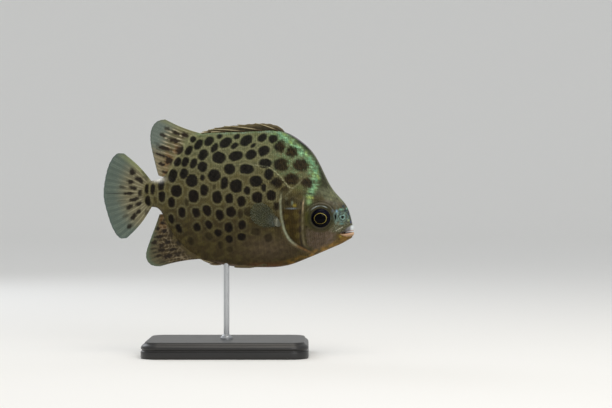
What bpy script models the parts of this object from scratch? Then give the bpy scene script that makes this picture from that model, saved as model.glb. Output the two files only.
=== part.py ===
"""A spotted scat, life size, swimming level with its spiny fins folded, held up by a plain display stand.

The fish faces +X. Shapes are worked out in millimetres, x forward from the rod's axis and z up from the
lowest line of the belly, and become metres above the floor when a node is finished.
"""

import math

import bmesh
import bpy
import numpy as np
from mathutils import Euler, Matrix, Vector

MM = 0.001
GAP = 0.3
SHORTEST_EDGES = (0.003, 0.001, 0.0003, 0.0)
BELLY_HEIGHT = 48.0

# Body from the snout to the root of the tail: back x, back z, belly x, belly z, half width,
# edge sharpness (0.5 is round, more is a sharper keel) and the level of the greatest width, from -1 to 1
STATIONS = (
    (71.4, 21.3, 71.4, 21.3, 0.0, 0.50, 0.00),
    (70.6, 24.9, 70.5, 18.0, 2.7, 0.50, 0.00),
    (69.2, 30.5, 68.3, 16.4, 4.0, 0.50, -0.02),
    (67.0, 35.8, 65.0, 14.5, 5.2, 0.51, -0.05),
    (63.0, 40.6, 60.8, 12.6, 6.6, 0.53, -0.08),
    (58.5, 46.4, 55.7, 10.4, 7.9, 0.56, -0.12),
    (54.0, 55.4, 49.6, 7.8, 9.2, 0.60, -0.14),
    (48.7, 65.0, 42.8, 5.0, 10.3, 0.64, -0.12),
    (41.2, 72.2, 35.6, 2.4, 11.2, 0.67, -0.06),
    (31.6, 77.0, 27.2, 1.1, 11.8, 0.68, 0.00),
    (19.9, 77.6, 17.1, 1.0, 11.8, 0.68, 0.02),
    (7.6, 77.0, 6.4, 1.3, 11.1, 0.68, 0.03),
    (-5.9, 76.9, -5.3, 3.1, 9.8, 0.68, 0.03),
    (-15.4, 75.4, -15.4, 6.3, 8.5, 0.68, 0.02),
    (-21.8, 69.9, -22.1, 10.6, 7.3, 0.68, 0.00),
    (-26.9, 62.4, -27.7, 15.9, 6.1, 0.66, 0.00),
    (-31.4, 55.4, -32.2, 23.5, 5.0, 0.63, 0.00),
    (-35.6, 51.2, -36.1, 31.4, 4.0, 0.60, 0.00),
    (-39.5, 49.8, -39.5, 34.5, 3.3, 0.57, 0.00),
    (-42.8, 49.3, -42.8, 34.8, 2.5, 0.54, 0.00),
    (-45.4, 48.2, -45.4, 35.8, 1.5, 0.52, 0.00),
)
REAR_OF_ALL, FRONT_OF_ALL, UNDER_ALL, OVER_ALL = -90.0, 90.0, -20.0, 100.0
SIDE_VIEW_FRAME = ((REAR_OF_ALL, UNDER_ALL), (FRONT_OF_ALL, UNDER_ALL), (FRONT_OF_ALL, OVER_ALL),
                   (REAR_OF_ALL, OVER_ALL))
SOFT_FIN_FRONT, SOFT_FIN_REAR, TAIL_ROOT = 12.85, 16.9, 20.0
RINGS_PER_STRETCH = ((0.0, 3.0, 9), (3.0, 8.0, 20), (8.0, 13.0, 12), (13.0, 17.0, 10), (17.0, 20.0, 6))
POINTS_ROUND = 44
STALK_X = -33.5

# Head
THIN_EDGE = 1.5
EYE = (52.5, 28.6)
EYE_RADIUS, EYE_FLATNESS = 5.6, 0.5
EYE_PROUD = 1.3
ORBIT_RIM_RADIUS, ORBIT_RIM_HEIGHT, ORBIT_RIM_WIDTH = 6.2, 0.45, 0.8
CHEEK_LINE = ((43.4, 41.5), (42.7, 34.0), (42.4, 26.0), (42.7, 18.0), (44.0, 13.0), (47.0, 10.6))
CHEEK_RIDGE_HEIGHT, CHEEK_RIDGE_WIDTH = 0.4, 0.9
GILL_LINE = (
    (41.5, 82.0), (39.5, 73.0), (34.2, 57.0), (30.9, 42.0), (30.5, 34.0), (31.6, 25.5),
    (34.6, 17.8), (39.6, 13.3), (45.0, 10.5), (50.2, 7.0), (54.0, 2.0),
)
GILL_COVER_SHOULDER, GILL_COVER_ARCH, GILL_COVER_FOOT = 37.0, 3.4, 10.2
GILL_COVER_RAISED, GILL_COVER_THICK = 0.45, 1.1
GILL_COVER_BEHIND_RIDGE, GILL_POCKET_PAST_REAR = 0.8, 4.0
FRONT_NOSTRIL, FRONT_NOSTRIL_RADIUS = (64.7, 29.2), 0.6
REAR_NOSTRIL, REAR_NOSTRIL_SIZE = (60.9, 29.2), (0.4, 1.2)
NOSTRIL_DEPTH = 1.0

# Mouth: the slit's upper and lower edges from the corner forwards, and the back edge of the lower jaw
MOUTH_CORNER = (64.4, 20.7)
MOUTH_TOP_EDGE = ((67.0, 21.2), (69.5, 21.3), (76.0, 21.4))
MOUTH_FLOOR_EDGE = ((66.8, 19.9), (69.0, 20.2), (76.0, 20.6))
JAW_BACK_EDGE = ((62.3, 18.6), (60.0, 15.6), (58.6, 12.5), (57.8, 4.0))
LIP_RISE, LIP_DEPTH = 1.25, 1.1
LIP_SWING_DEG, LIP_CORNER_SHARE, LIP_CORNER_DRAW = 92.0, 0.45, 0.9
UPPER_LIP = {"level": 22.6, "corner_x": 64.0, "reach": 6.4, "half_span": 5.3}
LOWER_LIP = {"level": 19.1, "corner_x": 63.6, "reach": 6.2, "half_span": 5.1}

# Soft fins: margins as points from the first ray's tip to the last one's, how far a fin sways off the
# middle line and how far its rays bow, as a share of their length
SOFT_DORSAL = {
    "rays": 17, "sway": 0.8, "arch": 0.03,
    "margin": ((-34.4, 83.8), (-38.9, 82.7), (-41.8, 79.2), (-42.8, 74.5), (-42.3, 68.9),
               (-40.9, 62.7), (-39.5, 57.1), (-38.1, 52.4)),
}
SOFT_ANAL = {
    "rays": 15, "sway": -0.8, "arch": -0.03,
    "margin": ((-37.2, 1.5), (-41.7, 2.1), (-44.4, 4.8), (-45.0, 8.7), (-43.6, 13.7),
               (-41.7, 19.0), (-39.5, 24.9), (-37.6, 30.6)),
}
TAIL_FIN = {
    "rays": 17, "sway": 1.0, "arch": 0.0,
    "root": ((-41.6, 48.6), (-44.0, 46.0), (-45.0, 42.0), (-44.0, 38.0), (-41.6, 35.4)),
    "margin": ((-57.4, 64.7), (-60.8, 64.8), (-63.3, 63.0), (-65.8, 58.8), (-67.8, 52.1), (-69.0, 43.7),
               (-68.4, 37.0), (-66.6, 30.5), (-64.4, 24.1), (-61.9, 19.6), (-59.1, 17.1), (-55.7, 17.4)),
}
PECTORAL = {
    "rays": 13, "root": (29.0, 26.0), "root_height": 4.2, "length": 17.0,
    "rise_deg": 26.0, "spread_deg": 58.0, "splay_deg": 11.0, "off_body": 0.2,
    "root_thick": 1.6, "rows": (-0.04, 0.12, 0.3, 0.55, 0.8, 1.0),
}
PELVIC = {
    "rays": 6, "root": (21.2, 2.6), "root_height": 1.8, "length": 18.5,
    "rise_deg": -5.5, "spread_deg": 9.0, "lean_deg": 30.0, "off_keel": 1.7,
    "root_thick": 1.4, "rows": (-0.02, 0.1, 0.3, 0.6, 1.0),
}
MEMBRANE_THICK, RAY_THICK = 0.55, 0.95
ROOT_THICK, ROOT_SHARE = 2.2, 0.35
FIN_ROWS = (-0.13, 0.04, 0.2, 0.4, 0.68, 0.93, 1.0)
MEMBRANE_LENGTH = 0.985
MARGIN_THIN, EDGE_THIN = 0.75, 0.55
SWAY_WAVES = 0.65
OUTER_RAYS_SHORTER, OUTER_RAYS_POWER = 0.55, 2.4

# Folded spines: where along the body's stations each grows, and its length
DORSAL_SPINES = ((8.95, 8.0), (9.25, 13.5), (9.6, 19.0), (10.0, 21.5), (10.4, 22.0), (10.8, 20.5),
                 (11.2, 18.5), (11.6, 16.0), (11.95, 12.5), (12.25, 9.0))
ANAL_SPINES = ((11.8, 6.5), (12.0, 12.0), (12.25, 12.5), (12.5, 12.0))
SPINE_RADIUS, SPINE_TIP_RADIUS = 0.75, 0.27
SPINE_SIDES, SPINE_TURN = 6, 0.3
SPINE_TIP_CLEAR = 0.5
SPINE_SUNK, SPINE_OFF_MIDDLE = 0.4, 0.5
FORWARD_SPINE_LENGTH, FORWARD_SPINE_SUNK = 4.0, 0.6
FOLD_HALF_WIDTH, FOLD_FOOT, FOLD_PAST_LAST = 0.9, 1.6, 0.4
FOLD_LEAST, FOLD_CROWN_POWER, FOLD_CROWN_ROUND = 0.14, 0.7, 0.7
SPINY_FINS = {"back": (DORSAL_SPINES, 4.0, 1.0), "belly": (ANAL_SPINES, 1.5, -1.0)}

# Display stand
BASE_SIZE = (92.0, 60.0, 9.0)
BASE_CORNER_RADIUS, BASE_EDGE_BEVEL = 10.0, 1.4
ROD_RADIUS = 1.6
ROD_OVERLAP = 3.0
ROD_FOOT = ((2.2, 0.0), (2.2, 1.2), (1.7, 2.0), (1.0, 2.4))

# Colours from the photo, as linear red, green and blue, with roughness
COLOURS = {
    "skin": ((0.16, 0.14, 0.07), 0.45),
    "gill": ((0.19, 0.16, 0.08), 0.4),
    "lip": ((0.62, 0.45, 0.33), 0.4),
    "fin": ((0.33, 0.36, 0.30), 0.5),
    "spine": ((0.35, 0.30, 0.16), 0.5),
    "eye": ((0.02, 0.02, 0.03), 0.1),
    "base": ((0.02, 0.02, 0.02), 0.35),
    "rod": ((0.55, 0.55, 0.56), 0.25),
}


def smooth_through(values, at):
    """A natural cubic spline through values at 0, 1, 2 and so on, read at the given places."""
    values = np.asarray(values, float)
    at = np.clip(np.asarray(at, float), 0, len(values) - 1)
    count = len(values)
    system = np.eye(count)
    bend = np.zeros_like(values)
    for i in range(1, count - 1):
        system[i, i - 1:i + 2] = (1.0, 4.0, 1.0)
        bend[i] = 6.0 * (values[i - 1] - 2.0 * values[i] + values[i + 1])
    second = np.linalg.solve(system, bend)
    low = np.minimum(at.astype(int), count - 2)
    part = at - low
    if values.ndim > 1:
        part = part[..., None]
    rest = 1.0 - part
    straight = rest * values[low] + part * values[low + 1]
    return straight + ((rest ** 3 - rest) * second[low] + (part ** 3 - part) * second[low + 1]) / 6.0


def along(points, shares):
    """Points of the smooth curve through the given points, at shares of its length from 0 to 1."""
    shares = np.asarray(shares, float)
    fine = smooth_through(points, np.linspace(0, len(points) - 1, 400))
    lengths = np.concatenate([[0.0], np.cumsum(np.linalg.norm(np.diff(fine, axis=0), axis=1))])
    return np.stack([np.interp(shares * lengths[-1], lengths, fine[:, k]) for k in range(2)], axis=-1)


def distance_to_line(x, z, points):
    """The distance of each place from a line given by a few points."""
    line = along(points, np.linspace(0, 1, 60))
    apart = np.hypot(np.asarray(x)[..., None] - line[:, 0], np.asarray(z)[..., None] - line[:, 1])
    return apart.min(axis=-1)


def side_relief(x, z):
    """How far the head's side stands proud of its plain form: the rim round the eye and the cheek's ridge."""
    from_eye = np.hypot(x - EYE[0], z - EYE[1])
    rim = ORBIT_RIM_HEIGHT * np.exp(-((from_eye - ORBIT_RIM_RADIUS) / ORBIT_RIM_WIDTH) ** 2)
    from_ridge = distance_to_line(x, z, CHEEK_LINE)
    return rim + CHEEK_RIDGE_HEIGHT * np.exp(-(from_ridge / CHEEK_RIDGE_WIDTH) ** 2)


def station(place):
    """Back point, belly point, half width, sharpness and widest level at one place along the body."""
    row = smooth_through(STATIONS, place)
    return row[..., 0:2], row[..., 2:4], np.maximum(row[..., 4], 0.0), row[..., 5], row[..., 6]


def section_share(level, sharpness, widest):
    """The half width at a level from -1 at the belly to 1 at the back, as a share of the greatest."""
    span = np.where(level > widest, 1.0 - widest, 1.0 + widest)
    share = np.clip(np.abs(level - widest) / span, 0.0, 1.0)
    return (1.0 - share ** 2) ** sharpness


def body_rings(widen=0.0, heighten=0.0, lengthen=0.0):
    """The body's rings of points, made wider, taller or longer all round by the given amounts."""
    places = np.concatenate([np.linspace(a, b, n, endpoint=False) for a, b, n in RINGS_PER_STRETCH])
    places = np.append(places[1:], TAIL_ROOT)
    turns = np.linspace(0.0, 2.0 * math.pi, POINTS_ROUND, endpoint=False)
    level = np.cos(turns)
    rings = []
    for place in places:
        back, belly, half_width, sharpness, widest = station(place)
        middle, reach = (back + belly) / 2.0, (back - belly) / 2.0
        reach = reach * (1.0 + heighten / np.linalg.norm(reach))
        across = half_width * section_share(level, sharpness, widest)
        points = middle + reach * level[:, None]
        across = across + (side_relief(points[:, 0], points[:, 1]) + widen) * np.minimum(across / THIN_EDGE, 1.0)
        ring = np.stack([points[:, 0], -across * np.sign(np.sin(turns)), points[:, 1]], axis=1)
        ring[[0, POINTS_ROUND // 2], 1] = 0.0
        rings.append(ring)
    tip = np.array([STATIONS[0][0] + heighten, 0.0, STATIONS[0][1]])
    end = rings[-1].mean(axis=0) - np.array([lengthen, 0.0, 0.0])
    if lengthen:
        last = rings[-1].copy()
        last[:, 0] -= lengthen
        rings.append(last)
    return tip, rings, end


def material(colour_name):
    """A surface finish, made once for each name in COLOURS."""
    found = bpy.data.materials.get(colour_name)
    if found:
        return found
    colour, roughness = COLOURS[colour_name]
    made = bpy.data.materials.new(colour_name)
    made.use_nodes = True
    shader = made.node_tree.nodes["Principled BSDF"]
    shader.inputs["Base Color"].default_value = (*colour, 1.0)
    shader.inputs["Roughness"].default_value = roughness
    shader.inputs["Metallic"].default_value = 1.0 if colour_name == "rod" else 0.0
    made.diffuse_color = (*colour, 1.0)
    return made


def mesh_object(name, points, faces, colour_name="skin", outward=True):
    """An object from points in millimetres and faces as lists of their numbers."""
    mesh = bpy.data.meshes.new(name)
    mesh.from_pydata([tuple(p) for p in points], [], [tuple(int(i) for i in f) for f in faces])
    if outward:
        shape = bmesh.new()
        shape.from_mesh(mesh)
        bmesh.ops.recalc_face_normals(shape, faces=shape.faces)
        shape.to_mesh(mesh)
        shape.free()
    mesh.materials.append(material(colour_name))
    made = bpy.data.objects.new(name, mesh)
    bpy.context.scene.collection.objects.link(made)
    return made


def loft(name, rings, first_tip, last_tip, colour_name="skin"):
    """A closed skin through rings of as many points each, ending in a point at both ends."""
    count = len(rings[0])
    points = [first_tip, *np.concatenate(rings), last_tip]
    faces = [(0, 1 + (j + 1) % count, 1 + j) for j in range(count)]
    for i in range(len(rings) - 1):
        near, far = 1 + i * count, 1 + (i + 1) * count
        for j in range(count):
            after = (j + 1) % count
            faces.append((near + j, near + after, far + after, far + j))
    start = 1 + (len(rings) - 1) * count
    faces += [(len(points) - 1, start + j, start + (j + 1) % count) for j in range(count)]
    return mesh_object(name, points, faces, colour_name)


def body(name, widen=0.0, heighten=0.0, lengthen=0.0):
    """The whole body from snout to tail root as one closed solid."""
    tip, rings, end = body_rings(widen, heighten, lengthen)
    return loft(name, rings, tip, end)


def swollen_body():
    """The body with the thin gap added all round, to cut clear whatever grows from it."""
    return body("swollen_body", GAP, GAP, GAP)


def prism(name, outline, near=-40.0, far=40.0):
    """An outline in the side view, carried straight across the body."""
    count = len(outline)
    points = [(x, near, z) for x, z in outline] + [(x, far, z) for x, z in outline]
    faces = [tuple(range(count)), tuple(range(2 * count - 1, count - 1, -1))]
    faces += [(i, (i + 1) % count, count + (i + 1) % count, count + i) for i in range(count)]
    return mesh_object(name, points, faces)


def evaluated_mesh(target):
    """Replaces an object's mesh by what its modifiers make of it, and drops the modifiers."""
    bpy.context.view_layer.update()
    graph = bpy.context.evaluated_depsgraph_get()
    made = bpy.data.meshes.new_from_object(target.evaluated_get(graph))
    target.modifiers.clear()
    target.data = made
    return target


def boolean(target, tool, operation, solver="EXACT"):
    """Cuts or crosses the target with one closed tool object, which is then removed."""
    step = target.modifiers.new("boolean", "BOOLEAN")
    step.operation = operation
    step.object = tool
    step.solver = solver
    evaluated_mesh(target)
    bpy.data.objects.remove(tool)
    return target


def join(target, pieces, solver="EXACT"):
    """Joins a collection of closed pieces onto the target as one solid."""
    group = bpy.data.collections.new("pieces")
    bpy.context.scene.collection.children.link(group)
    for piece in pieces:
        bpy.context.scene.collection.objects.unlink(piece)
        group.objects.link(piece)
    step = target.modifiers.new("join", "BOOLEAN")
    step.operation = "UNION"
    step.operand_type = "COLLECTION"
    step.collection = group
    step.solver = solver
    evaluated_mesh(target)
    for piece in list(group.objects):
        bpy.data.objects.remove(piece)
    bpy.data.collections.remove(group)
    return target


def finish(target):
    """Keeps a node's largest closed surface, without scraps, and turns it into metres above the floor."""
    for shortest in SHORTEST_EDGES:
        shape = bmesh.new()
        shape.from_mesh(target.data)
        bmesh.ops.dissolve_degenerate(shape, dist=shortest, edges=shape.edges)
        if all(edge.is_manifold for edge in shape.edges):
            break
        shape.free()
    left, islands = set(shape.verts), []
    while left:
        island, edge = set(), [left.pop()]
        while edge:
            vert = edge.pop()
            island.add(vert)
            for link in vert.link_edges:
                other = link.other_vert(vert)
                if other in left:
                    left.remove(other)
                    edge.append(other)
        islands.append(island)
    largest = max(islands, key=len)
    bmesh.ops.delete(shape, geom=[v for v in shape.verts if v not in largest], context="VERTS")
    bmesh.ops.triangulate(shape, faces=shape.faces)
    for vert in shape.verts:
        vert.co = (vert.co + Vector((0.0, 0.0, BELLY_HEIGHT))) * MM
    shape.to_mesh(target.data)
    shape.free()
    target.data.shade_smooth()
    target.data.set_sharp_from_angle(angle=math.radians(40))
    return target


def mirrored(source, name):
    """The same piece for the other side of the fish."""
    mesh = source.data.copy()
    mesh.transform(Matrix.Diagonal((1.0, -1.0, 1.0, 1.0)))
    mesh.flip_normals()
    made = bpy.data.objects.new(name, mesh)
    bpy.context.scene.collection.objects.link(made)
    return made


def shifted(points, distance):
    """A line moved sideways, to its left as it runs, by a distance."""
    points = np.asarray(points, float)
    run = np.gradient(points, axis=0)
    run /= np.linalg.norm(run, axis=1)[:, None]
    return points + distance * np.stack([-run[:, 1], run[:, 0]], axis=1)


def gill_line(samples=26):
    """The rear edge of the head and gill cover, from above the nape to below the throat."""
    return along(GILL_LINE, np.linspace(0, 1, samples))


def gill_cover_outline(grow):
    """The gill cover's outline in the side view, from its top down the cheek and back up its rear edge."""
    front = along(CHEEK_LINE, np.linspace(0.0, 0.97, 12))
    front = front[front[:, 1] < GILL_COVER_SHOULDER]
    front[:, 0] += grow - GILL_COVER_BEHIND_RIDGE
    front[-1, 1] = GILL_COVER_FOOT - grow
    rear = gill_line(44)[::-1]
    rear = rear[(rear[:, 1] > GILL_COVER_FOOT + 2 * GAP) & (rear[:, 1] < GILL_COVER_SHOULDER)]
    rear[:, 0] -= GILL_POCKET_PAST_REAR if grow else 0.0
    middle, half = (rear[-1, 0] + front[0, 0]) / 2.0, (front[0, 0] - rear[-1, 0]) / 2.0
    arch = [(middle - half * math.cos(t), GILL_COVER_SHOULDER + (GILL_COVER_ARCH + grow) * math.sin(t))
            for t in np.radians(np.linspace(20, 160, 8))]
    return np.concatenate([front, rear, arch])


def half_width_at(x, z):
    """The body's half width at a place in the side view."""
    _, rings, _ = body_rings()
    side = np.concatenate([ring[1:POINTS_ROUND // 2] for ring in rings])
    apart = np.hypot(side[:, 0] - x, side[:, 2] - z)
    nearest = np.argsort(apart)[:4]
    weight = 1.0 / (apart[nearest] + 0.05)
    return float((np.abs(side[nearest, 1]) * weight).sum() / weight.sum())


def ellipsoid(name, centre, radii, colour_name="eye", across=20, rows=12):
    """A closed egg shape."""
    shape = bmesh.new()
    bmesh.ops.create_uvsphere(shape, u_segments=across, v_segments=rows, radius=1.0)
    points = np.array([v.co for v in shape.verts]) * np.array(radii) + np.array(centre)
    faces = [[v.index for v in f.verts] for f in shape.faces]
    shape.free()
    return mesh_object(name, points, faces, colour_name)


def right_eyeball(name, grow=0.0):
    """The right eyeball, flattened across the head as a fish's is."""
    deep = half_width_at(*EYE) + EYE_PROUD - EYE_RADIUS * EYE_FLATNESS
    radii = (EYE_RADIUS + grow, EYE_RADIUS * EYE_FLATNESS + grow, EYE_RADIUS + grow)
    return ellipsoid(name, (EYE[0], -deep, EYE[1]), radii)


def lip(name, sizes):
    """A lip as a tapered roll from one corner of the mouth round the front to the other."""
    swing = np.radians(np.linspace(-LIP_SWING_DEG, LIP_SWING_DEG, 19))
    rings = []
    turns = np.linspace(0, 2 * math.pi, 10, endpoint=False)
    for angle in swing:
        middle = np.array([sizes["corner_x"] + sizes["reach"] * math.cos(angle),
                           sizes["half_span"] * math.sin(angle), sizes["level"]])
        outward = np.array([math.cos(angle), math.sin(angle), 0.0])
        full = LIP_CORNER_SHARE + (1 - LIP_CORNER_SHARE) * math.sqrt(max(math.cos(angle), 0.0))
        middle[2] += (MOUTH_CORNER[1] - sizes["level"]) * (1 - full) * LIP_CORNER_DRAW
        rings.append([middle + outward * LIP_DEPTH * full * math.cos(t)
                      + np.array([0, 0, 1]) * LIP_RISE * full * math.sin(t) for t in turns])
    rings = [np.array(r) for r in rings]
    return loft(name, rings, rings[0].mean(axis=0), rings[-1].mean(axis=0), "lip")


def right_nostril(name, place, radii):
    """A small upright pit for a nostril."""
    centre = (place[0], -half_width_at(*place), place[1])
    return ellipsoid(name, centre, (radii[0], NOSTRIL_DEPTH, radii[1]), across=10, rows=6)


def right_gill_pocket(name):
    """The room that the right gill cover takes up in the side of the head."""
    pocket = prism(name, gill_cover_outline(GAP), -40.0, -1.0)
    return boolean(pocket, body("core", widen=GILL_COVER_RAISED - GILL_COVER_THICK - GAP), "DIFFERENCE")


def make_head(rear):
    """Skull, snout and cheeks, with sockets, nostrils, gill pockets and the upper lip."""
    head = body("head")
    front = [tuple(p) for p in rear] + [(FRONT_OF_ALL, UNDER_ALL), (FRONT_OF_ALL, OVER_ALL)]
    boolean(head, prism("front_of_gills", front), "INTERSECT")
    jaw_room = [(MOUTH_CORNER[0] - GAP, MOUTH_CORNER[1]), *MOUTH_TOP_EDGE, (76.0, 0.0),
                (JAW_BACK_EDGE[-1][0] - GAP, 0.0)]
    jaw_room += [(x - GAP, z + 0.1) for x, z in reversed(JAW_BACK_EDGE)]
    boolean(head, prism("jaw_room", jaw_room), "DIFFERENCE")
    tools = (right_gill_pocket("gill_pocket"), right_eyeball("socket", GAP),
             right_nostril("front_nostril", FRONT_NOSTRIL, (FRONT_NOSTRIL_RADIUS, FRONT_NOSTRIL_RADIUS)),
             right_nostril("rear_nostril", REAR_NOSTRIL, REAR_NOSTRIL_SIZE))
    for tool in tools:
        boolean(head, mirrored(tool, f"left_{tool.name}"), "DIFFERENCE", "MANIFOLD")
        boolean(head, tool, "DIFFERENCE", "MANIFOLD")
    join(head, [lip("upper_lip", UPPER_LIP)])
    return finish(head)


def make_lower_jaw():
    """The lower jaw with its lip, parted from the head by the open mouth and a thin cut behind."""
    jaw = body("lower_jaw")
    outline = [MOUTH_CORNER, *MOUTH_FLOOR_EDGE, (76.0, 0.0), *reversed(JAW_BACK_EDGE)]
    boolean(jaw, prism("jaw_outline", outline), "INTERSECT")
    join(jaw, [lip("lower_lip", LOWER_LIP)], "MANIFOLD")
    rear = [(MOUTH_CORNER[0], MOUTH_CORNER[1] + 5.0), MOUTH_CORNER, *JAW_BACK_EDGE, (40.0, 0.0), (40.0, 26.0)]
    boolean(jaw, prism("behind_jaw", rear), "DIFFERENCE", "MANIFOLD")
    return finish(jaw)


def make_gill_covers():
    """The gill covers, thin plates that stand a little proud of the cheek and of the body behind them."""
    cover = body("gill_cover_right", widen=GILL_COVER_RAISED)
    boolean(cover, prism("cover_outline", gill_cover_outline(0.0), -40.0, -1.0), "INTERSECT")
    boolean(cover, body("core", widen=GILL_COVER_RAISED - GILL_COVER_THICK), "DIFFERENCE")
    cover.data.materials.clear()
    cover.data.materials.append(material("gill"))
    mirrored(finish(cover), "gill_cover_left")


def make_torso(rear_of_head):
    """The trunk from the gill opening to the stalk of the tail."""
    torso = body("torso")
    edge = shifted(rear_of_head, -GAP)
    outline = [tuple(p) for p in edge] + [(STALK_X, UNDER_ALL), (STALK_X, OVER_ALL)]
    boolean(torso, prism("trunk", outline), "INTERSECT")
    return finish(torso)


def make_tail_stalk():
    """The narrow stalk that carries the tail fin."""
    stalk = body("tail_stalk")
    outline = [(STALK_X - GAP, UNDER_ALL), (STALK_X - GAP, OVER_ALL), (REAR_OF_ALL, OVER_ALL),
               (REAR_OF_ALL, UNDER_ALL)]
    boolean(stalk, prism("stalk_room", outline), "INTERSECT")
    return finish(stalk)


def fin_grid(roots, tips, rows, half_root, sway=0.0, arch=0.0):
    """Both faces of a fin: a row of rays from roots to tips, with the membrane dipped between them.

    The columns run ray, membrane, ray and so on, and the rows run from the sunk root out to the margin.
    """
    count = 2 * len(roots) - 1
    at = np.arange(count) / 2.0
    low = np.floor(at).astype(int)
    high = np.minimum(low + 1, len(roots) - 1)
    part = (at - low)[:, None]
    root = roots[low] * (1 - part) + roots[high] * part
    tip = tips[low] * (1 - part) + tips[high] * part
    is_ray = (np.arange(count) % 2 == 0)
    front, back = [], []
    for u in rows:
        length = np.where(is_ray, u, u * MEMBRANE_LENGTH)
        flat = root + (tip - root) * length[:, None]
        run = tip - root
        flat = flat + np.stack([-run[:, 1], run[:, 0]], axis=1) * (arch * math.sin(math.pi * max(u, 0.0)))
        fade = np.clip(u, 0.0, 1.0)
        thick = np.where(is_ray, RAY_THICK, MEMBRANE_THICK) / 2.0 * (1.0 - (1.0 - MARGIN_THIN) * fade)
        thick = np.maximum(thick, half_root * max(1.0 - fade / ROOT_SHARE, 0.0))
        thick = thick * (EDGE_THIN if u >= 1.0 else 1.0)
        middle = sway * np.sin(2.0 * math.pi * SWAY_WAVES * at / len(roots)) * fade ** 2
        front.append(np.stack([flat[:, 0], middle - thick, flat[:, 1]], axis=1))
        back.append(np.stack([flat[:, 0], middle + thick, flat[:, 1]], axis=1))
    return np.array(front), np.array(back)


def fin_mesh(name, front, back, colour_name="fin"):
    """A closed plate from its two faces, both split into triangles the same way."""
    rows, columns = front.shape[:2]
    points = np.concatenate([front.reshape(-1, 3), back.reshape(-1, 3)])
    other = rows * columns
    faces = []
    for i in range(rows - 1):
        for j in range(columns - 1):
            a, b = i * columns + j, i * columns + j + 1
            c, d = a + columns, b + columns
            faces += [(a, b, d), (a, d, c), (other + a, other + d, other + b), (other + a, other + c, other + d)]
    rim = [j for j in range(columns)]
    rim += [i * columns + columns - 1 for i in range(1, rows)]
    rim += [(rows - 1) * columns + j for j in range(columns - 2, -1, -1)]
    rim += [i * columns for i in range(rows - 2, 0, -1)]
    for a, b in zip(rim, rim[1:] + rim[:1]):
        faces += [(a, other + a, other + b), (a, other + b, b)]
    return mesh_object(name, points, faces, colour_name)


def median_fin(name, roots, sizes, spines_on=None):
    """A fin on the fish's middle line, cut clear of the body that it grows from and of folded spines."""
    tips = along(sizes["margin"], np.linspace(0, 1, sizes["rays"]))
    front, back = fin_grid(roots, tips, FIN_ROWS, ROOT_THICK / 2, sizes["sway"], sizes["arch"])
    fin = fin_mesh(name, front, back)
    boolean(fin, swollen_body(), "DIFFERENCE")
    if spines_on:
        boolean(fin, folded_spines("spines_room", spines_on, GAP), "DIFFERENCE")
    return finish(fin)


def edge_roots(which, rays, first=SOFT_FIN_FRONT, last=SOFT_FIN_REAR):
    """Evenly spaced root points along the back or the belly edge."""
    back, belly, *_ = station(np.linspace(first, last, 60))
    line = back if which == "back" else belly
    lengths = np.concatenate([[0.0], np.cumsum(np.linalg.norm(np.diff(line, axis=0), axis=1))])
    shares = np.linspace(0, lengths[-1], rays)
    return np.stack([np.interp(shares, lengths, line[:, k]) for k in range(2)], axis=1)


def make_soft_fins():
    """The soft dorsal and anal fins and the tail fin."""
    median_fin("dorsal_fin_soft", edge_roots("back", SOFT_DORSAL["rays"]), SOFT_DORSAL, "back")
    median_fin("anal_fin_soft", edge_roots("belly", SOFT_ANAL["rays"]), SOFT_ANAL, "belly")
    median_fin("tail_fin", along(TAIL_FIN["root"], np.linspace(0, 1, TAIL_FIN["rays"])), TAIL_FIN)


def fan(sizes):
    """Roots and tips of a paired fin's rays in its own plane, the root upright at zero, the fin running back."""
    rays = sizes["rays"]
    share = np.linspace(0.5, -0.5, rays)
    roots = np.stack([np.zeros(rays), share * sizes["root_height"]], axis=1)
    angle = np.radians(sizes["rise_deg"] + share * sizes["spread_deg"])
    length = sizes["length"] * (1.0 - OUTER_RAYS_SHORTER * np.abs(share * 2) ** OUTER_RAYS_POWER)
    tips = roots + np.stack([-np.cos(angle), np.sin(angle)], axis=1) * length[:, None]
    return roots, tips


def make_paired_fin(name, sizes, deep, turn):
    """A pair of fins, turned in space about the root, moved into place and cut clear of the body."""
    roots, tips = fan(sizes)
    front, back = fin_grid(roots, tips, sizes["rows"], sizes["root_thick"] / 2)
    matrix, origin = np.array(Euler(turn).to_matrix()), np.array((sizes["root"][0], -deep, sizes["root"][1]))
    front, back = front @ matrix.T + origin, back @ matrix.T + origin
    fin = fin_mesh(f"{name}_right", front, back)
    boolean(fin, swollen_body(), "DIFFERENCE")
    boolean(fin, prism("other_side", SIDE_VIEW_FRAME, -GAP / 2, 40.0), "DIFFERENCE")
    mirrored(finish(fin), f"{name}_left")


def make_paired_fins():
    """The pectoral fins, laid back along the flank, and the pelvic fins, folded against the keel."""
    deep = half_width_at(*PECTORAL["root"]) + PECTORAL["off_body"]
    make_paired_fin("pectoral_fin", PECTORAL, deep, (0.0, 0.0, math.radians(PECTORAL["splay_deg"])))
    make_paired_fin("pelvic_fin", PELVIC, PELVIC["off_keel"], (math.radians(PELVIC["lean_deg"]), 0.0, 0.0))


def spine(name, foot, direction, length, across, grow):
    """A tapered spine from a foot point, running in the side view along a direction."""
    thick, tip = SPINE_RADIUS + grow, SPINE_TIP_RADIUS + grow
    direction = np.array([direction[0], 0.0, direction[1]])
    direction /= np.linalg.norm(direction)
    upright = np.array([-direction[2], 0.0, direction[0]])
    sideways = np.array([0.0, 1.0, 0.0])
    foot = np.array([foot[0], across, foot[1]])
    turns = np.linspace(0, 2 * math.pi, SPINE_SIDES, endpoint=False) + SPINE_TURN
    rings = []
    for share in (0.0, 0.45, 0.85, 1.0):
        wide = thick + (tip - thick) * share ** 1.3
        middle = foot + direction * length * share
        rings.append(np.array([middle + wide * (math.cos(t) * sideways + math.sin(t) * upright) for t in turns]))
    return loft(name, rings, foot, foot + direction * (length + tip), "spine")


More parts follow.
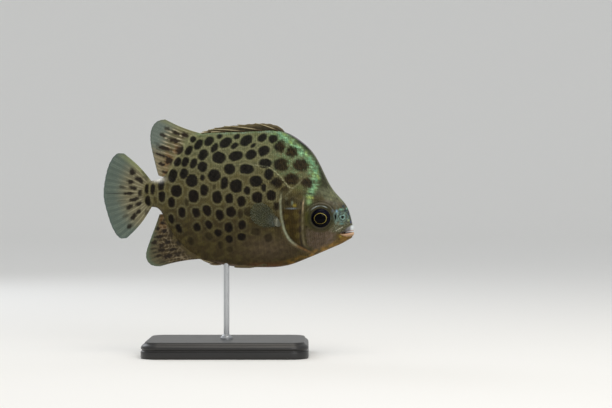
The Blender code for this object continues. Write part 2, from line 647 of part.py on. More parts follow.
def fold_rise(share, height):
    """How high a folded fin stands at a share of its length from front to rear."""
    crown = max(math.sin(math.pi * min(share, 1.0) ** FOLD_CROWN_POWER), 0.0)
    return height * max(FOLD_LEAST, crown ** FOLD_CROWN_ROUND)


def folded_spines(name, which, grow=0.0):
    """A folded fin: tapered spines that lie back one over another, on a low fold of membrane.

    Grown by the thin gap, the same shape cuts its neighbours clear.
    """
    table, height, up = SPINY_FINS[which]
    edge = 0 if which == "back" else 1
    first, last = table[0][0], table[-1][0] + FOLD_PAST_LAST
    rings = []
    for share in np.linspace(0, 1, 16):
        point = station(first + (last - first) * share)[edge]
        rise, wide = fold_rise(share, height) + grow, FOLD_HALF_WIDTH + grow
        shape = ((-wide, -FOLD_FOOT), (wide, -FOLD_FOOT), (wide * 0.9, rise * 0.4), (wide * 0.4, rise),
                 (-wide * 0.4, rise), (-wide * 0.9, rise * 0.4))
        rings.append(np.array([(point[0], y, point[1] + up * z) for y, z in shape]))
    folded = loft(name, rings, rings[0].mean(axis=0), rings[-1].mean(axis=0), "spine")
    edge_line = station(np.linspace(first, last + 2.0, 200))[edge]
    spines = []
    for i, (place, length) in enumerate(table):
        foot = station(place)[edge] - np.array([0.0, up * SPINE_SUNK])
        nearest = np.argmin(np.abs(foot[0] - length - edge_line[:, 0]))
        share = (edge_line[0, 0] - edge_line[nearest, 0]) / (edge_line[0, 0] - station(last)[edge][0])
        tip_rise = up * (fold_rise(share, height) + SPINE_TIP_CLEAR)
        across = SPINE_OFF_MIDDLE * (-1) ** i
        lean = edge_line[nearest] + np.array([0.0, tip_rise]) - foot
        spines.append(spine(f"spine_{i}", foot, lean, length, across, grow))
    if which == "back":
        foot = station(first)[edge] - FORWARD_SPINE_SUNK
        spines.append(spine("forward_spine", foot, (1.0, 0.05), FORWARD_SPINE_LENGTH, 0.0, grow))
    return join(folded, spines, "MANIFOLD")


def make_spiny_fin(name, which):
    """A folded spiny fin, cut clear of the body."""
    fin = folded_spines(name, which)
    boolean(fin, swollen_body(), "DIFFERENCE", "MANIFOLD")
    return finish(fin)


def make_stand():
    """The display stand: a flat base with rounded corners and one slim rod up to the belly's keel."""
    length, depth, height = BASE_SIZE
    corners = []
    for cx, cy, start in ((1, 1, 0), (-1, 1, 90), (-1, -1, 180), (1, -1, 270)):
        for step in range(7):
            angle = math.radians(start + 15 * step)
            corners.append((cx * (length / 2 - BASE_CORNER_RADIUS) + BASE_CORNER_RADIUS * math.cos(angle),
                            cy * (depth / 2 - BASE_CORNER_RADIUS) + BASE_CORNER_RADIUS * math.sin(angle)))
    count = len(corners)
    floor, top = -BELLY_HEIGHT, -BELLY_HEIGHT + height
    points = [(x, y, floor) for x, y in corners] + [(x, y, top) for x, y in corners]
    faces = [tuple(range(count)), tuple(range(count, 2 * count))]
    faces += [(i, (i + 1) % count, count + (i + 1) % count, count + i) for i in range(count)]
    base = mesh_object("stand_base", points, faces, "base")
    shape = bmesh.new()
    shape.from_mesh(base.data)
    rim = [e for e in shape.edges if all(v.co.z > top - GAP for v in e.verts)]
    bmesh.ops.bevel(shape, geom=rim, offset=BASE_EDGE_BEVEL, segments=2, profile=0.5, affect="EDGES")
    shape.to_mesh(base.data)
    shape.free()
    keel = station(np.interp(0.0, [-5.3, 6.4], [12.0, 11.0]))[1]
    turns = np.linspace(0, 2 * math.pi, 20, endpoint=False)
    ring = np.array([(ROD_RADIUS * math.cos(t), ROD_RADIUS * math.sin(t), 0.0) for t in turns])
    foot, tip = top + GAP, keel[1] + ROD_OVERLAP
    rings = [ring * (wide, wide, 0.0) + np.array([0.0, 0.0, foot + rise]) for wide, rise in ROD_FOOT]
    rings.append(ring + np.array([0.0, 0.0, tip]))
    rod = loft("stand_rod", rings, (0.0, 0.0, foot), (0.0, 0.0, tip), "rod")
    boolean(rod, swollen_body(), "DIFFERENCE")
    finish(base)
    finish(rod)


def main():
    """Clears the scene and models every piece of the fish and its stand."""
    for old in list(bpy.data.objects):
        bpy.data.objects.remove(old)
    rear = gill_line()
    make_head(rear)
    make_lower_jaw()
    make_gill_covers()
    mirrored(finish(right_eyeball("eye_right")), "eye_left")
    make_torso(rear)
    make_tail_stalk()
    make_spiny_fin("dorsal_fin_spiny", "back")
    make_spiny_fin("anal_fin_spines", "belly")
    make_soft_fins()
    make_paired_fins()
    make_stand()


main()
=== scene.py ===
"""The looks of the spotted scat: one scaled skin, glass eyes, rayed fins, folded spines and a display stand.

Shapes are worked out in millimetres as in the part's source, x forward from the rod's axis and z up from the
lowest line of the belly, and become metres above the floor when a piece is made.
"""

import math

import bmesh
import bpy
import numpy as np
from mathutils import Euler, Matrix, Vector
from mathutils.bvhtree import BVHTree


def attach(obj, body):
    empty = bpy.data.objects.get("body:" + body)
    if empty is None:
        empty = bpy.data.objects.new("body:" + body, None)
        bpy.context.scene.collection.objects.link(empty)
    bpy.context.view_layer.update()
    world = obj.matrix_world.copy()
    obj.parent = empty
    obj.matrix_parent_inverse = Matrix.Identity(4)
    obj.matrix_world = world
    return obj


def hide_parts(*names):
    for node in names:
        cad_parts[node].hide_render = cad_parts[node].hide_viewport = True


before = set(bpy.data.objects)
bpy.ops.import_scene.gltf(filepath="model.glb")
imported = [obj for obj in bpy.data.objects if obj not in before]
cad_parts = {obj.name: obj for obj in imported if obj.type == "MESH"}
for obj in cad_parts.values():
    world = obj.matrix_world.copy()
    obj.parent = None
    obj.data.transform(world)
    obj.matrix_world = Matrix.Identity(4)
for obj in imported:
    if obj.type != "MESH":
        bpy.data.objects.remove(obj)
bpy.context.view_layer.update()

MM = 0.001
BELLY_HEIGHT = 48.0
MIRROR = np.array([1.0, -1.0, 1.0])
# Points in which a curve is measured and in which places are measured off one, the waves that a grain adds
# up, and how high they then stand
CURVE_POINTS, SEAM_POINTS = 400, 160
GRAIN_WAVES, GRAIN_HEIGHT = 9, 2.6

# Body from the snout to the root of the tail: back x, back z, belly x, belly z, half width,
# edge sharpness (0.5 is round, more is a sharper keel) and the level of the greatest width, from -1 to 1
STATIONS = (
    (71.4, 21.3, 71.4, 21.3, 0.0, 0.50, 0.00),
    (70.6, 24.9, 70.5, 18.0, 2.7, 0.50, 0.00),
    (69.2, 30.5, 68.3, 16.4, 4.0, 0.50, -0.02),
    (67.0, 35.8, 65.0, 14.5, 5.2, 0.51, -0.05),
    (63.0, 40.6, 60.8, 12.6, 6.6, 0.53, -0.08),
    (58.5, 46.4, 55.7, 10.4, 7.9, 0.56, -0.12),
    (54.0, 55.4, 49.6, 7.8, 9.2, 0.60, -0.14),
    (48.7, 65.0, 42.8, 5.0, 10.3, 0.64, -0.12),
    (41.2, 72.2, 35.6, 2.4, 11.2, 0.67, -0.06),
    (31.6, 77.0, 27.2, 1.1, 11.8, 0.68, 0.00),
    (19.9, 77.6, 17.1, 1.0, 11.8, 0.68, 0.02),
    (7.6, 77.0, 6.4, 1.3, 11.1, 0.68, 0.03),
    (-5.9, 76.9, -5.3, 3.1, 9.8, 0.68, 0.03),
    (-15.4, 75.4, -15.4, 6.3, 8.5, 0.68, 0.02),
    (-21.8, 69.9, -22.1, 10.6, 7.3, 0.68, 0.00),
    (-26.9, 62.4, -27.7, 15.9, 6.1, 0.66, 0.00),
    (-31.4, 55.4, -32.2, 23.5, 5.0, 0.63, 0.00),
    (-35.6, 51.2, -36.1, 31.4, 4.0, 0.60, 0.00),
    (-39.5, 49.8, -39.5, 34.5, 3.3, 0.57, 0.00),
    (-42.8, 49.3, -42.8, 34.8, 2.5, 0.54, 0.00),
    (-45.4, 48.2, -45.4, 35.8, 1.5, 0.52, 0.00),
)
SOFT_FIN_FRONT, SOFT_FIN_REAR, TAIL_ROOT = 12.85, 16.9, 20.0
RINGS_PER_STRETCH = ((0.0, 1.0, 24), (1.0, 3.0, 44), (3.0, 8.0, 96), (8.0, 13.0, 98), (13.0, 17.0, 36),
                     (17.0, 20.0, 22))
POINTS_ROUND = 300
# Points in which the body's half width is looked up
WIDTH_POINTS_ALONG, WIDTH_POINTS_ROUND = 400, 160
# From 0, points evenly round a section, to 1, points evenly down it
EVENNESS = 0.6

# Head. The eye is a ball flattened to a share of its radius, which stands proud of the skin and shows up to
# a distance from its middle. The gold ring has a half length, half height, place and width.
EYE = (52.5, 28.6)
EYE_RADIUS, EYE_FLATNESS, EYE_PROUD = 5.6, 0.5, 1.3
EYE_SHOWN, EYE_PIT_DEPTH = 5.0, 1.5
EYE_RINGS, EYE_POINTS_ROUND = 150, 144
GOLD_RING, GOLD_RING_OFF, GOLD_RING_WIDTH = (3.35, 2.9), (-0.05, -0.25), 0.025
ORBIT_RIM_RADIUS, ORBIT_RIM_HEIGHT, ORBIT_RIM_WIDTH = 6.2, 0.45, 0.8
# Folds of skin round the eye, each a radius and a depth, and folds along the chin
BROW_FOLDS = ((7.3, 0.22), (8.8, 0.16), (10.2, 0.1))
UNDER_EYE_FOLDS = ((7.2, 0.14), (8.4, 0.1))
CHIN_FOLDS = (((63.9, 18.0), (61.3, 16.6), (58.0, 14.3), (54.5, 11.9)),
              ((57.5, 13.2), (53.0, 10.8), (48.0, 8.2), (43.0, 6.4)))
CHEEK_LINE = ((43.4, 41.5), (42.7, 34.0), (42.4, 26.0), (42.7, 18.0), (44.0, 13.0), (47.0, 10.6))
GILL_LINE = (
    (41.5, 82.0), (39.5, 73.0), (34.2, 57.0), (30.9, 42.0), (30.5, 34.0), (31.6, 25.5),
    (34.6, 17.8), (39.6, 13.3), (45.0, 10.5), (50.2, 7.0), (54.0, 2.0),
)
GILL_SHOULDER, GILL_ARCH, GILL_FOOT, GILL_PROUD = 37.0, 3.4, 10.2, 0.45
GILL_ARCH_X, GILL_ARCH_HALF = 36.6, 5.9
# Ridges and grooves along a line: how far off it, half width, height, and the shares of the line where each
# starts, is whole, fades and ends
CHEEK_RELIEF = tuple((*row, 0.02, 0.12, 0.9, 0.99) for row in (
    (0.0, 0.85, 0.3), (-1.4, 0.4, -0.3), (3.3, 0.5, 0.16), (4.1, 0.35, -0.12)))
GILL_RELIEF = ((-0.35, 0.3, -0.3, 0.48, 0.56, 0.9, 0.98), (0.6, 0.55, 0.22, 0.52, 0.6, 0.85, 0.95))
JAW_RELIEF = ((-0.3, 0.3, -0.25, 0.0, 0.15, 0.8, 1.0), (0.4, 0.45, 0.2, 0.0, 0.2, 0.8, 1.0))
CHIN_RELIEF = ((0.0, 0.3, -0.22, 0.0, 0.1, 0.85, 1.0),)
LATERAL_RELIEF = ((0.0, 0.45, 0.14), (0.9, 0.35, -0.1))
# Nostrils: place, half sizes of the pit and of its mark, and the strength of the pale ring round it
NOSTRILS = (((64.7, 29.2), (0.5, 0.5), (0.6, 0.6), 0.65), ((60.9, 29.2), (0.32, 1.0), (0.5, 1.4), 0.2))
SNOUT_MIDDLE, SNOUT_HALF_SIZES = (64.4, 29.4), (5.6, 5.4)
# The lips start at the mouth's corner and are whole from the second place on
MOUTH_CORNER = (63.0, 64.4)
MOUTH_LINE = ((63.0, 19.95), (64.5, 20.05), (66.5, 20.3), (68.5, 20.65), (70.5, 21.0), (72.5, 21.3))
MOUTH_GAP = ((63.6, 0.12), (65.5, 0.38), (68.0, 0.5), (71.0, 0.36))
# The skin between the lips is drawn back towards a place in the mouth
MOUTH_DEEP, MOUTH_PULL = (63.5, 0.0, 20.2), 0.62
SNOUT_ROUNDING = 0.5
# How thick each lip is at a place along the mouth
UPPER_LIP = ((63.2, 0.3), (65.0, 1.5), (67.0, 2.7), (69.0, 3.5), (70.6, 3.8))
LOWER_LIP = ((63.2, 0.3), (65.0, 1.4), (67.0, 2.2), (69.0, 2.5), (71.0, 2.4))
LIP_ROLL = 0.6
# No piece reaches further forward or back than this
FOREMOST_X, REARMOST_X = 71.42, -68.93
NAPE_BAND = (
    (20.0, 78.0), (28.0, 76.3), (35.0, 72.5), (40.5, 67.5), (46.0, 62.3), (49.0, 56.5), (50.3, 50.5),
    (48.8, 45.5), (47.2, 41.0), (46.0, 37.5),
)
# A pale seam between the ragged spots of the neck, and the pale edge of the upper jaw's bone
NECK_SEAM = ((29.6, 38.6), (33.6, 41.5), (36.8, 44.3), (40.5, 47.8), (43.8, 51.5))
JAW_STREAK = ((61.0, 21.2), (62.6, 22.1), (64.2, 22.9), (65.4, 23.6))
# Small marks of the head, and a painted glint on the top of the tail's stalk:
# x, z, half width, half height, colour and strength
HEAD_MARKS_AND_STALK_GLINT = (
    (34.2, 37.0, 1.8, 2.0, "211b10", 0.85), (38.2, 35.6, 0.9, 0.8, "a8963c", 0.75),
    (36.9, 37.0, 0.3, 1.1, "8c9a86", 0.7), (36.6, 33.9, 2.4, 0.3, "7d8c96", 0.75),
    (36.8, 39.3, 1.2, 0.9, "2a2415", 0.7), (33.6, 39.6, 0.6, 0.8, "7a7a5c", 0.6),
    (41.0, 45.5, 2.2, 1.4, "59663c", 0.6), (41.3, 39.8, 1.8, 1.6, "4c4322", 0.7),
    (46.5, 42.1, 3.4, 0.6, "2a281a", 0.8), (46.4, 40.1, 1.3, 0.9, "9cb060", 0.85),
    (48.2, 39.8, 0.7, 0.5, "b0b95f", 0.6), (46.2, 37.6, 1.4, 1.4, "98b87c", 0.88),
    (49.8, 40.4, 0.8, 0.7, "3a2a22", 0.6), (53.5, 36.6, 3.5, 0.5, "5d5347", 0.6),
    (55.8, 37.8, 2.5, 0.6, "6a6256", 0.5), (45.4, 29.4, 1.8, 4.8, "414110", 0.88),
    (45.0, 23.7, 0.8, 0.7, "201a0d", 0.8), (47.4, 22.2, 1.6, 0.6, "2c2a14", 0.5),
    (59.3, 32.7, 0.9, 0.8, "55606f", 0.6), (61.6, 32.4, 0.55, 0.7, "7aa3c0", 0.8),
    (65.4, 35.2, 0.9, 0.7, "1f3040", 0.8), (66.8, 33.0, 0.6, 0.9, "1c2c3a", 0.8),
    (68.2, 31.0, 0.5, 1.2, "1a2740", 0.8), (64.0, 33.3, 1.2, 0.4, "74a58c", 0.7),
    (67.3, 33.9, 0.5, 0.6, "8fc0ae", 0.6), (64.2, 25.4, 1.3, 0.5, "5f8d86", 0.6),
    (69.6, 26.4, 0.45, 0.8, "2a3f7a", 0.6), (68.2, 27.3, 0.6, 0.6, "9aa37a", 0.6),
    (63.3, 20.0, 0.5, 0.4, "1d170d", 0.8), (63.7, 18.3, 0.6, 0.5, "8d853a", 0.75),
    # The last is a painted glint on the top of the tail's stalk
    (63.0, 16.8, 0.7, 0.6, "211c14", 0.65), (-38.3, 50.2, 3.2, 1.5, "f0eee6", 1.0),
)
LATERAL_LINE = (
    (37.2, 45.4), (35.3, 45.7), (31.9, 49.5), (28.6, 53.2), (23.7, 56.6), (18.1, 57.7), (7.6, 58.3),
    (-5.9, 54.9), (-14.8, 51.0), (-23.2, 46.5), (-31.6, 43.7), (-38.4, 42.6), (-45.1, 42.6),
)

# Soft fins: margins as points from the first ray's tip to the last one's, and how far the first and the last
# ray bow in the fin's plane, as a share of their length
SOFT_DORSAL = {
    "rays": 17, "sway": 0.8, "bulge": (0.03, 0.03),
    "margin": ((-34.4, 83.8), (-38.9, 82.7), (-41.8, 79.2), (-42.8, 74.5), (-42.3, 68.9),
               (-40.9, 62.7), (-39.5, 57.1), (-38.1, 52.4)),
}
SOFT_ANAL = {
    "rays": 15, "sway": -0.8, "bulge": (-0.03, -0.03),
    "margin": ((-37.2, 1.5), (-41.7, 2.1), (-44.4, 4.8), (-45.0, 8.7), (-43.6, 13.7),
               (-41.7, 19.0), (-39.5, 24.9), (-37.6, 30.6)),
}
TAIL_FIN = {
    "rays": 17, "sway": 1.0, "bulge": (-0.04, 0.05),
    "root": ((-41.6, 48.6), (-44.0, 46.0), (-45.0, 42.0), (-44.0, 38.0), (-41.6, 35.4)),
    "margin": ((-57.4, 64.7), (-60.8, 64.8), (-63.3, 63.0), (-65.8, 58.8), (-67.8, 52.1), (-69.0, 43.7),
               (-68.4, 37.0), (-66.6, 30.5), (-64.4, 24.1), (-61.9, 19.6), (-59.1, 17.1), (-55.7, 17.4)),
}
PECTORAL = {
    "rays": 13, "root": (29.0, 26.0), "root_height": 4.2, "length": 17.0,
    "rise_deg": 26.0, "spread_deg": 58.0, "splay_deg": 11.0, "off_body": 0.2, "root_thick": 1.6, "taper": 2.4,
}
PELVIC = {
    "rays": 6, "root": (21.2, 2.6), "root_height": 1.8, "length": 18.5,
    "rise_deg": -5.5, "spread_deg": 9.0, "lean_deg": 30.0, "off_keel": 1.7, "root_thick": 1.4, "taper": 1.0,
}
# Thickness of membrane, rays and the fin's root, the share of its length over which the root thins down,
# and where it starts in the body
MEMBRANE_THICK, RAY_THICK = 0.3, 0.72
ROOT_THICK, ROOT_SHARE, ROOT_SUNK = 2.2, 0.35, -0.1
SWAY_WAVES = 0.65
# Length and depth of a ray's joint, and how much shorter a paired fin's outermost rays are
RAY_JOINT, RAY_JOINT_DEPTH = 1.1, 0.1
OUTER_RAYS_SHORTER = 0.55
# A ray's half width and how far its forks spread, as shares of the space between rays
RAY_HALF_WIDTH, FIRST_FORK, SECOND_FORK = 0.15, 0.13, 0.06
PAIRED_HALF_MEMBRANE, PAIRED_HALF_RAY = 0.12, 0.22
# Share of painted glints, small cells painted lighter, on the fins and on the tail fin
FIN_PAINTED_GLINTS, TAIL_PAINTED_GLINTS = 0.1, 0.08
COLUMNS_PER_RAY, FIN_ROWS, PAIRED_FIN_ROWS = 10, 64, 40

# Folded spines: where along the body's stations each grows, and its length
DORSAL_SPINES = ((8.95, 8.0), (9.25, 13.5), (9.6, 19.0), (10.0, 21.5), (10.4, 22.0), (10.8, 20.5),
                 (11.2, 18.5), (11.6, 16.0), (11.95, 12.5), (12.25, 9.0))
ANAL_SPINES = ((11.8, 6.5), (12.0, 12.0), (12.3, 12.5), (12.65, 11.5))
SPINE_RADIUS, SPINE_TIP_RADIUS, SPINE_SIDES = 0.7, 0.14, 14
# How deep a spine's foot sits, how far it lies to one side, and how far its point stands off the fold
SPINE_SUNK, SPINE_OFF_MIDDLE, SPINE_TIP_CLEAR = 0.4, 0.5, 0.5
SPINE_RINGS, SPINE_BOW = 24, 0.35
FORWARD_SPINE, FORWARD_SPINE_SUNK, FORWARD_SPINE_RINGS = (4.0, -1.0), 0.6, 16
# The fold of membrane: its half width, how deep its foot sits, and how far it runs past the last spine
FOLD_HALF_WIDTH, FOLD_FOOT, FOLD_PAST_LAST = 0.8, 1.6, 0.4
FOLD_LEAST, FOLD_CROWN_POWER, FOLD_CROWN_ROUND = 0.14, 0.7, 0.7
FOLD_RINGS, FOLD_SIDES, CREASES_PER_SPINE = 120, 26, 1.1
# Folded fins: spines, height, way up, and the colours of the fold's foot and crown
SPINY_FINS = {
    "back": (DORSAL_SPINES, 4.0, 1.0, "2a2413", "5d5237"),
    "belly": (ANAL_SPINES, 1.1, -1.0, "40321f", "66553f"),
}

# Spots of the right flank: x, z, half length along, half height
SPOTS = (
    (-18.7, 72.6, 2.0, 1.7), (-15.4, 69.6, 2.4, 3.0), (-9.6, 71.4, 2.6, 2.8), (-3.9, 74.1, 1.7, 1.6),
    (-0.2, 70.6, 3.5, 3.0), (5.8, 73.9, 1.7, 1.6), (11.3, 71.8, 3.4, 3.1), (20.1, 73.3, 2.6, 2.5),
    (26.3, 72.6, 2.5, 2.7), (-6.4, 67.6, 2.0, 2.6), (4.8, 68.9, 2.1, 1.8), (15.2, 69.0, 1.6, 1.1),
    (-26.4, 66.8, 2.1, 2.7), (-20.9, 66.3, 2.2, 2.7), (-12.7, 63.8, 2.8, 3.2), (-3.9, 62.1, 3.8, 3.4),
    (5.6, 63.1, 3.8, 3.0), (13.9, 63.8, 3.1, 2.9), (21.1, 65.9, 3.1, 3.1), (29.8, 68.4, 3.2, 3.4),
    (36.4, 65.4, 3.3, 3.1), (-27.2, 59.9, 2.0, 2.8), (-22.7, 59.9, 2.0, 3.0), (-18.1, 58.9, 2.0, 3.0),
    (-12.9, 57.1, 2.8, 2.9), (2.1, 55.8, 3.2, 3.0), (11.6, 55.8, 4.0, 2.9), (21.9, 58.9, 3.6, 2.6),
    (30.8, 58.1, 4.2, 3.7), (41.6, 57.9, 4.3, 3.6), (-29.9, 52.1, 2.6, 3.7), (-23.4, 53.3, 2.4, 2.9),
    (-18.9, 49.4, 3.4, 3.5), (-12.9, 50.9, 1.4, 1.8), (-6.4, 52.1, 3.4, 3.5), (-0.7, 47.9, 2.2, 3.4),
    (5.9, 46.3, 3.6, 3.7), (11.9, 43.8, 1.8, 2.3), (16.8, 48.9, 3.5, 3.2), (23.9, 52.8, 2.7, 3.1),
    (21.1, 45.4, 1.5, 2.2), (28.4, 48.1, 3.2, 3.2), (36.6, 50.1, 4.1, 3.3), (45.1, 48.1, 3.3, 3.0),
    (-36.3, 46.8, 1.8, 3.1), (-27.6, 43.8, 3.1, 3.4), (-17.9, 40.8, 3.0, 3.6), (-11.9, 44.1, 2.3, 3.3),
    (-4.7, 40.3, 2.7, 3.6), (2.1, 39.6, 2.4, 2.7), (8.8, 37.8, 2.5, 3.0), (17.6, 40.1, 3.1, 3.1),
    (25.3, 41.1, 2.8, 2.9), (32.8, 43.8, 2.4, 2.3), (28.6, 35.1, 2.3, 2.1), (34.3, 37.0, 2.0, 1.5),
    (-35.9, 40.6, 2.0, 3.1), (-30.4, 37.4, 2.1, 2.8), (-24.4, 31.8, 2.2, 2.9), (-16.4, 31.6, 2.1, 2.7),
    (-10.4, 32.9, 2.3, 3.2), (-3.4, 30.3, 2.3, 3.1), (2.9, 32.1, 2.7, 3.0), (-30.6, 28.1, 1.6, 2.5),
    (-26.4, 22.8, 1.6, 2.7), (-16.1, 23.6, 2.1, 2.5), (-9.4, 24.9, 1.8, 2.5), (-4.4, 20.3, 2.0, 2.2),
    (1.6, 23.4, 2.4, 2.8), (9.1, 24.8, 2.1, 2.7), (1.8, 16.9, 2.0, 2.2), (8.8, 18.1, 2.5, 2.2),
    (-41.1, 44.6, 1.3, 3.1), (-44.4, 44.9, 1.3, 2.8), (-43.9, 38.1, 1.6, 2.9),
)
FAINT_SPOTS = (
    (-6.4, 45.9, 0.9, 1.5), (8.1, 31.1, 1.3, 2.4), (12.9, 32.1, 2.8, 2.6), (18.5, 29.5, 1.8, 1.6),
    (-9.6, 18.6, 1.8, 2.3), (-19.7, 15.8, 1.6, 2.6), (-26.9, 14.4, 1.6, 1.7), (16.6, 21.1, 2.5, 1.9),
    (23.6, 17.6, 2.2, 2.2), (-2.9, 13.6, 1.8, 2.0), (2.1, 11.1, 1.8, 1.6), (-39.7, 38.6, 0.8, 1.8),
    (-21.9, 37.6, 1.1, 1.9),
)
# Spots further forward than this have frayed edges
RAGGED_FROM_X = 28.0
SPOT_SOFT, RAGGED_SOFT, SPOT_SQUARENESS, FAINT_DEPTH = 0.45, 1.0, 2.2, 0.55
SPOT_REACH, SPOT_WOBBLE, SPOT_FRAY, OFF_SPOTS = 2.6, 0.14, 0.45, 9.0
# The pale line round a spot: how far out it lies, and its half width
HALO_OFF, HALO_WIDTH = 0.55, 0.42
# Spots behind the middle of the flank lean along circles round this place
LEAN_CENTRE, LEAN_SHARE = (10.0, 42.0), 0.75
# Those below the back tilt, and are drawn out along it
BACK_TILT, BACK_STRETCH = 0.6, 0.13
# The left flank's spots are the right one's, moved, grown and spread by chance
SPOT_SEED, LEFT_SHIFT, LEFT_GROW, LEFT_SPREADS, LEFT_SPREAD_STEP = 11, 1.3, 0.1, 60, 0.3
NET_WIDTH = 1.0
# Dark blotches of the soft fins: x, z, half length along the ray, half width and depth
DORSAL_BLOTCHES = (
    (-33.2, 78.6, 1.8, 1.2, 0.75), (-28.5, 76.2, 2.5, 1.2, 1.0), (-23.4, 75.0, 2.3, 1.6, 1.0),
    (-35.6, 74.9, 2.2, 1.3, 0.9), (-29.5, 72.0, 3.7, 1.3, 1.0), (-34.6, 67.5, 4.5, 1.3, 1.0),
    (-36.2, 63.6, 4.9, 0.8, 1.0), (-32.2, 60.6, 2.3, 2.4, 1.0), (-36.2, 58.7, 1.8, 1.2, 1.0),
    (-34.7, 54.2, 1.8, 1.0, 0.95), (-39.0, 70.5, 1.8, 0.7, 0.4), (-38.2, 66.9, 1.6, 0.6, 0.45),
    (-26.4, 66.6, 2.4, 2.1, 0.9), (-26.4, 59.6, 1.9, 2.2, 0.5),
)
ANAL_BLOTCHES = (
    (-35.9, 25.7, 1.5, 0.9, 1.0), (-38.5, 22.6, 1.3, 1.1, 1.0), (-34.9, 21.3, 1.7, 1.2, 1.0),
    (-30.9, 19.9, 1.5, 2.5, 0.75), (-37.5, 18.1, 2.7, 1.0, 1.0), (-40.6, 14.8, 2.2, 1.2, 1.0),
    (-33.0, 15.1, 1.8, 1.4, 1.0), (-36.5, 13.0, 1.6, 1.1, 1.0), (-36.2, 10.7, 2.2, 1.0, 1.0),
    (-30.4, 10.9, 2.2, 1.1, 1.0), (-41.0, 11.5, 1.8, 0.7, 0.65), (-38.3, 7.4, 2.0, 1.0, 0.95),
    (-32.7, 7.2, 2.8, 1.2, 1.0), (-27.2, 8.4, 2.5, 1.1, 0.9), (-40.1, 9.4, 1.4, 0.7, 0.55),
    (-35.6, 4.2, 2.0, 0.8, 0.45), (-26.6, 14.6, 1.6, 1.5, 0.75), (-31.6, 26.6, 1.4, 0.9, 0.7),
    (-23.6, 9.4, 2.2, 0.7, 0.5),
)
TAIL_BLOTCHES = (
    (-52.7, 54.4, 2.1, 1.8, 1.0), (-48.7, 49.9, 3.0, 1.5, 1.0), (-53.9, 48.8, 2.1, 1.4, 1.0),
    (-52.4, 45.4, 2.4, 1.3, 1.0), (-58.4, 45.9, 2.3, 0.9, 0.65), (-48.4, 42.7, 1.4, 2.4, 1.0),
    (-54.7, 42.3, 3.1, 1.0, 1.0), (-51.7, 38.9, 2.9, 1.2, 1.0), (-58.5, 38.4, 3.0, 0.35, 0.5),
    (-49.4, 36.4, 2.4, 1.2, 1.0), (-54.5, 34.9, 2.4, 1.4, 1.0), (-49.4, 31.9, 2.1, 1.2, 1.0),
    (-52.0, 29.2, 2.6, 1.4, 1.0), (-56.7, 29.9, 1.7, 1.1, 0.45), (-54.2, 23.9, 2.0, 1.4, 0.95),
    (-62.0, 42.2, 6.5, 0.22, 0.6), (-44.9, 51.4, 1.7, 1.5, 0.65), (-46.6, 54.0, 1.5, 1.1, 0.55),
    (-44.6, 31.9, 1.7, 1.4, 0.65),
)

# Scales: pitch along the body and up it, and the plate's own size
SCALE_PITCH, SCALE_ROW = 0.95, 0.82
SCALE_LONG, SCALE_WIDE, SCALE_CROWN, SCALE_LIFT_DEG = 1.55, 1.12, 0.1, 5.5
SCALE_SIZES, SCALE_SEED = (0.94, 1.08), 7
SCALE_EDGE = ((-0.5, 0.0), (-0.36, 0.4), (0.08, 0.5), (0.38, 0.34), (0.5, 0.0), (0.38, -0.34), (0.08, -0.5),
              (-0.36, -0.4))
# Where they start on the body's stations, and how far they stay off the tail's root, the back and the keel
SCALES_FROM_PLACE, SCALES_OFF_TAIL, SCALES_OFF_KEEL = 3.5, 0.4, 0.5
SCALE_SECTION_POINTS, SCALE_LENGTH_POINTS = 700, 1500
# The map of the scales: the size of a scale's patch, and what the map's sides stand for in millimetres
UV_PATCH, UV_LONG, UV_TALL, UV_MARGIN = 0.003, 150.0, 90.0, 0.05
# Size of the small cells that are painted lighter as glints
PAINTED_GLINT_CELL_MM = 0.5
# A scale's points that lie under the one before it, with painted shade, and the one at its crown, with a
# painted highlight
SCALE_FRONT_EDGE, SCALE_FRONT_PAINTED_SHADE = [0, 1, 7], 0.86
SCALE_CROWN_POINT, SCALE_CROWN_PAINTED_HIGHLIGHT = 8, 1.08
LEAST_GROWN = 0.35
# How solid the clear fins are between their rays and on them
CLEAR_WEB, CLEAR_RAY = 0.27, 0.4

# Display stand
BASE_SIZE = (92.0, 60.0, 9.0)
BASE_CORNER_RADIUS, BASE_CORNER_STEPS = 10.0, 14
# Each ring of the moulded edge: how far in, and how high
BASE_PROFILE = ((0.9, 0.0), (0.35, 0.15), (0.05, 0.5), (0.0, 0.9), (0.0, 3.6), (0.12, 3.95), (0.55, 4.2),
                (0.7, 4.45), (0.7, 4.7), (0.55, 4.95), (0.2, 5.2), (0.05, 5.6), (0.1, 6.1), (0.35, 6.7),
                (0.85, 7.25), (1.5, 7.7), (2.0, 8.1), (2.2, 8.5), (2.4, 8.85), (2.9, 9.0))
BASE_TOP_RINGS = ((0.96, 0.94), (0.5, 0.5))
ROD_RADIUS, ROD_SIDES, ROD_RINGS = 1.6, 48, 24
# How far it clears the base, where its plain length starts, and how far it goes into the belly
ROD_OFF_BASE, ROD_PLAIN_FROM, ROD_IN_BELLY = 0.02, 3.0, 1.2
# The flange at its foot: radius as a share of the rod's, and height
ROD_PROFILE = ((2.2, 0.0), (2.2, 0.9), (2.05, 1.15), (1.75, 1.25), (1.7, 1.4), (1.72, 1.7), (1.5, 2.05),
               (1.12, 2.25), (1.0, 2.4))
# Corners of the stand sharper than this stay crisp
CRISP_FROM_DEG = 35.0

# Photograph's view: the frame is 612 by 408 points, and one point is 0.56 mm at the fish
FRAME_POINTS, POINT_MM = (612, 408), 0.56
VIEW_CENTRE = (44.5, 84.4)
VIEW_DISTANCE, SENSOR = 900.0, 36.0

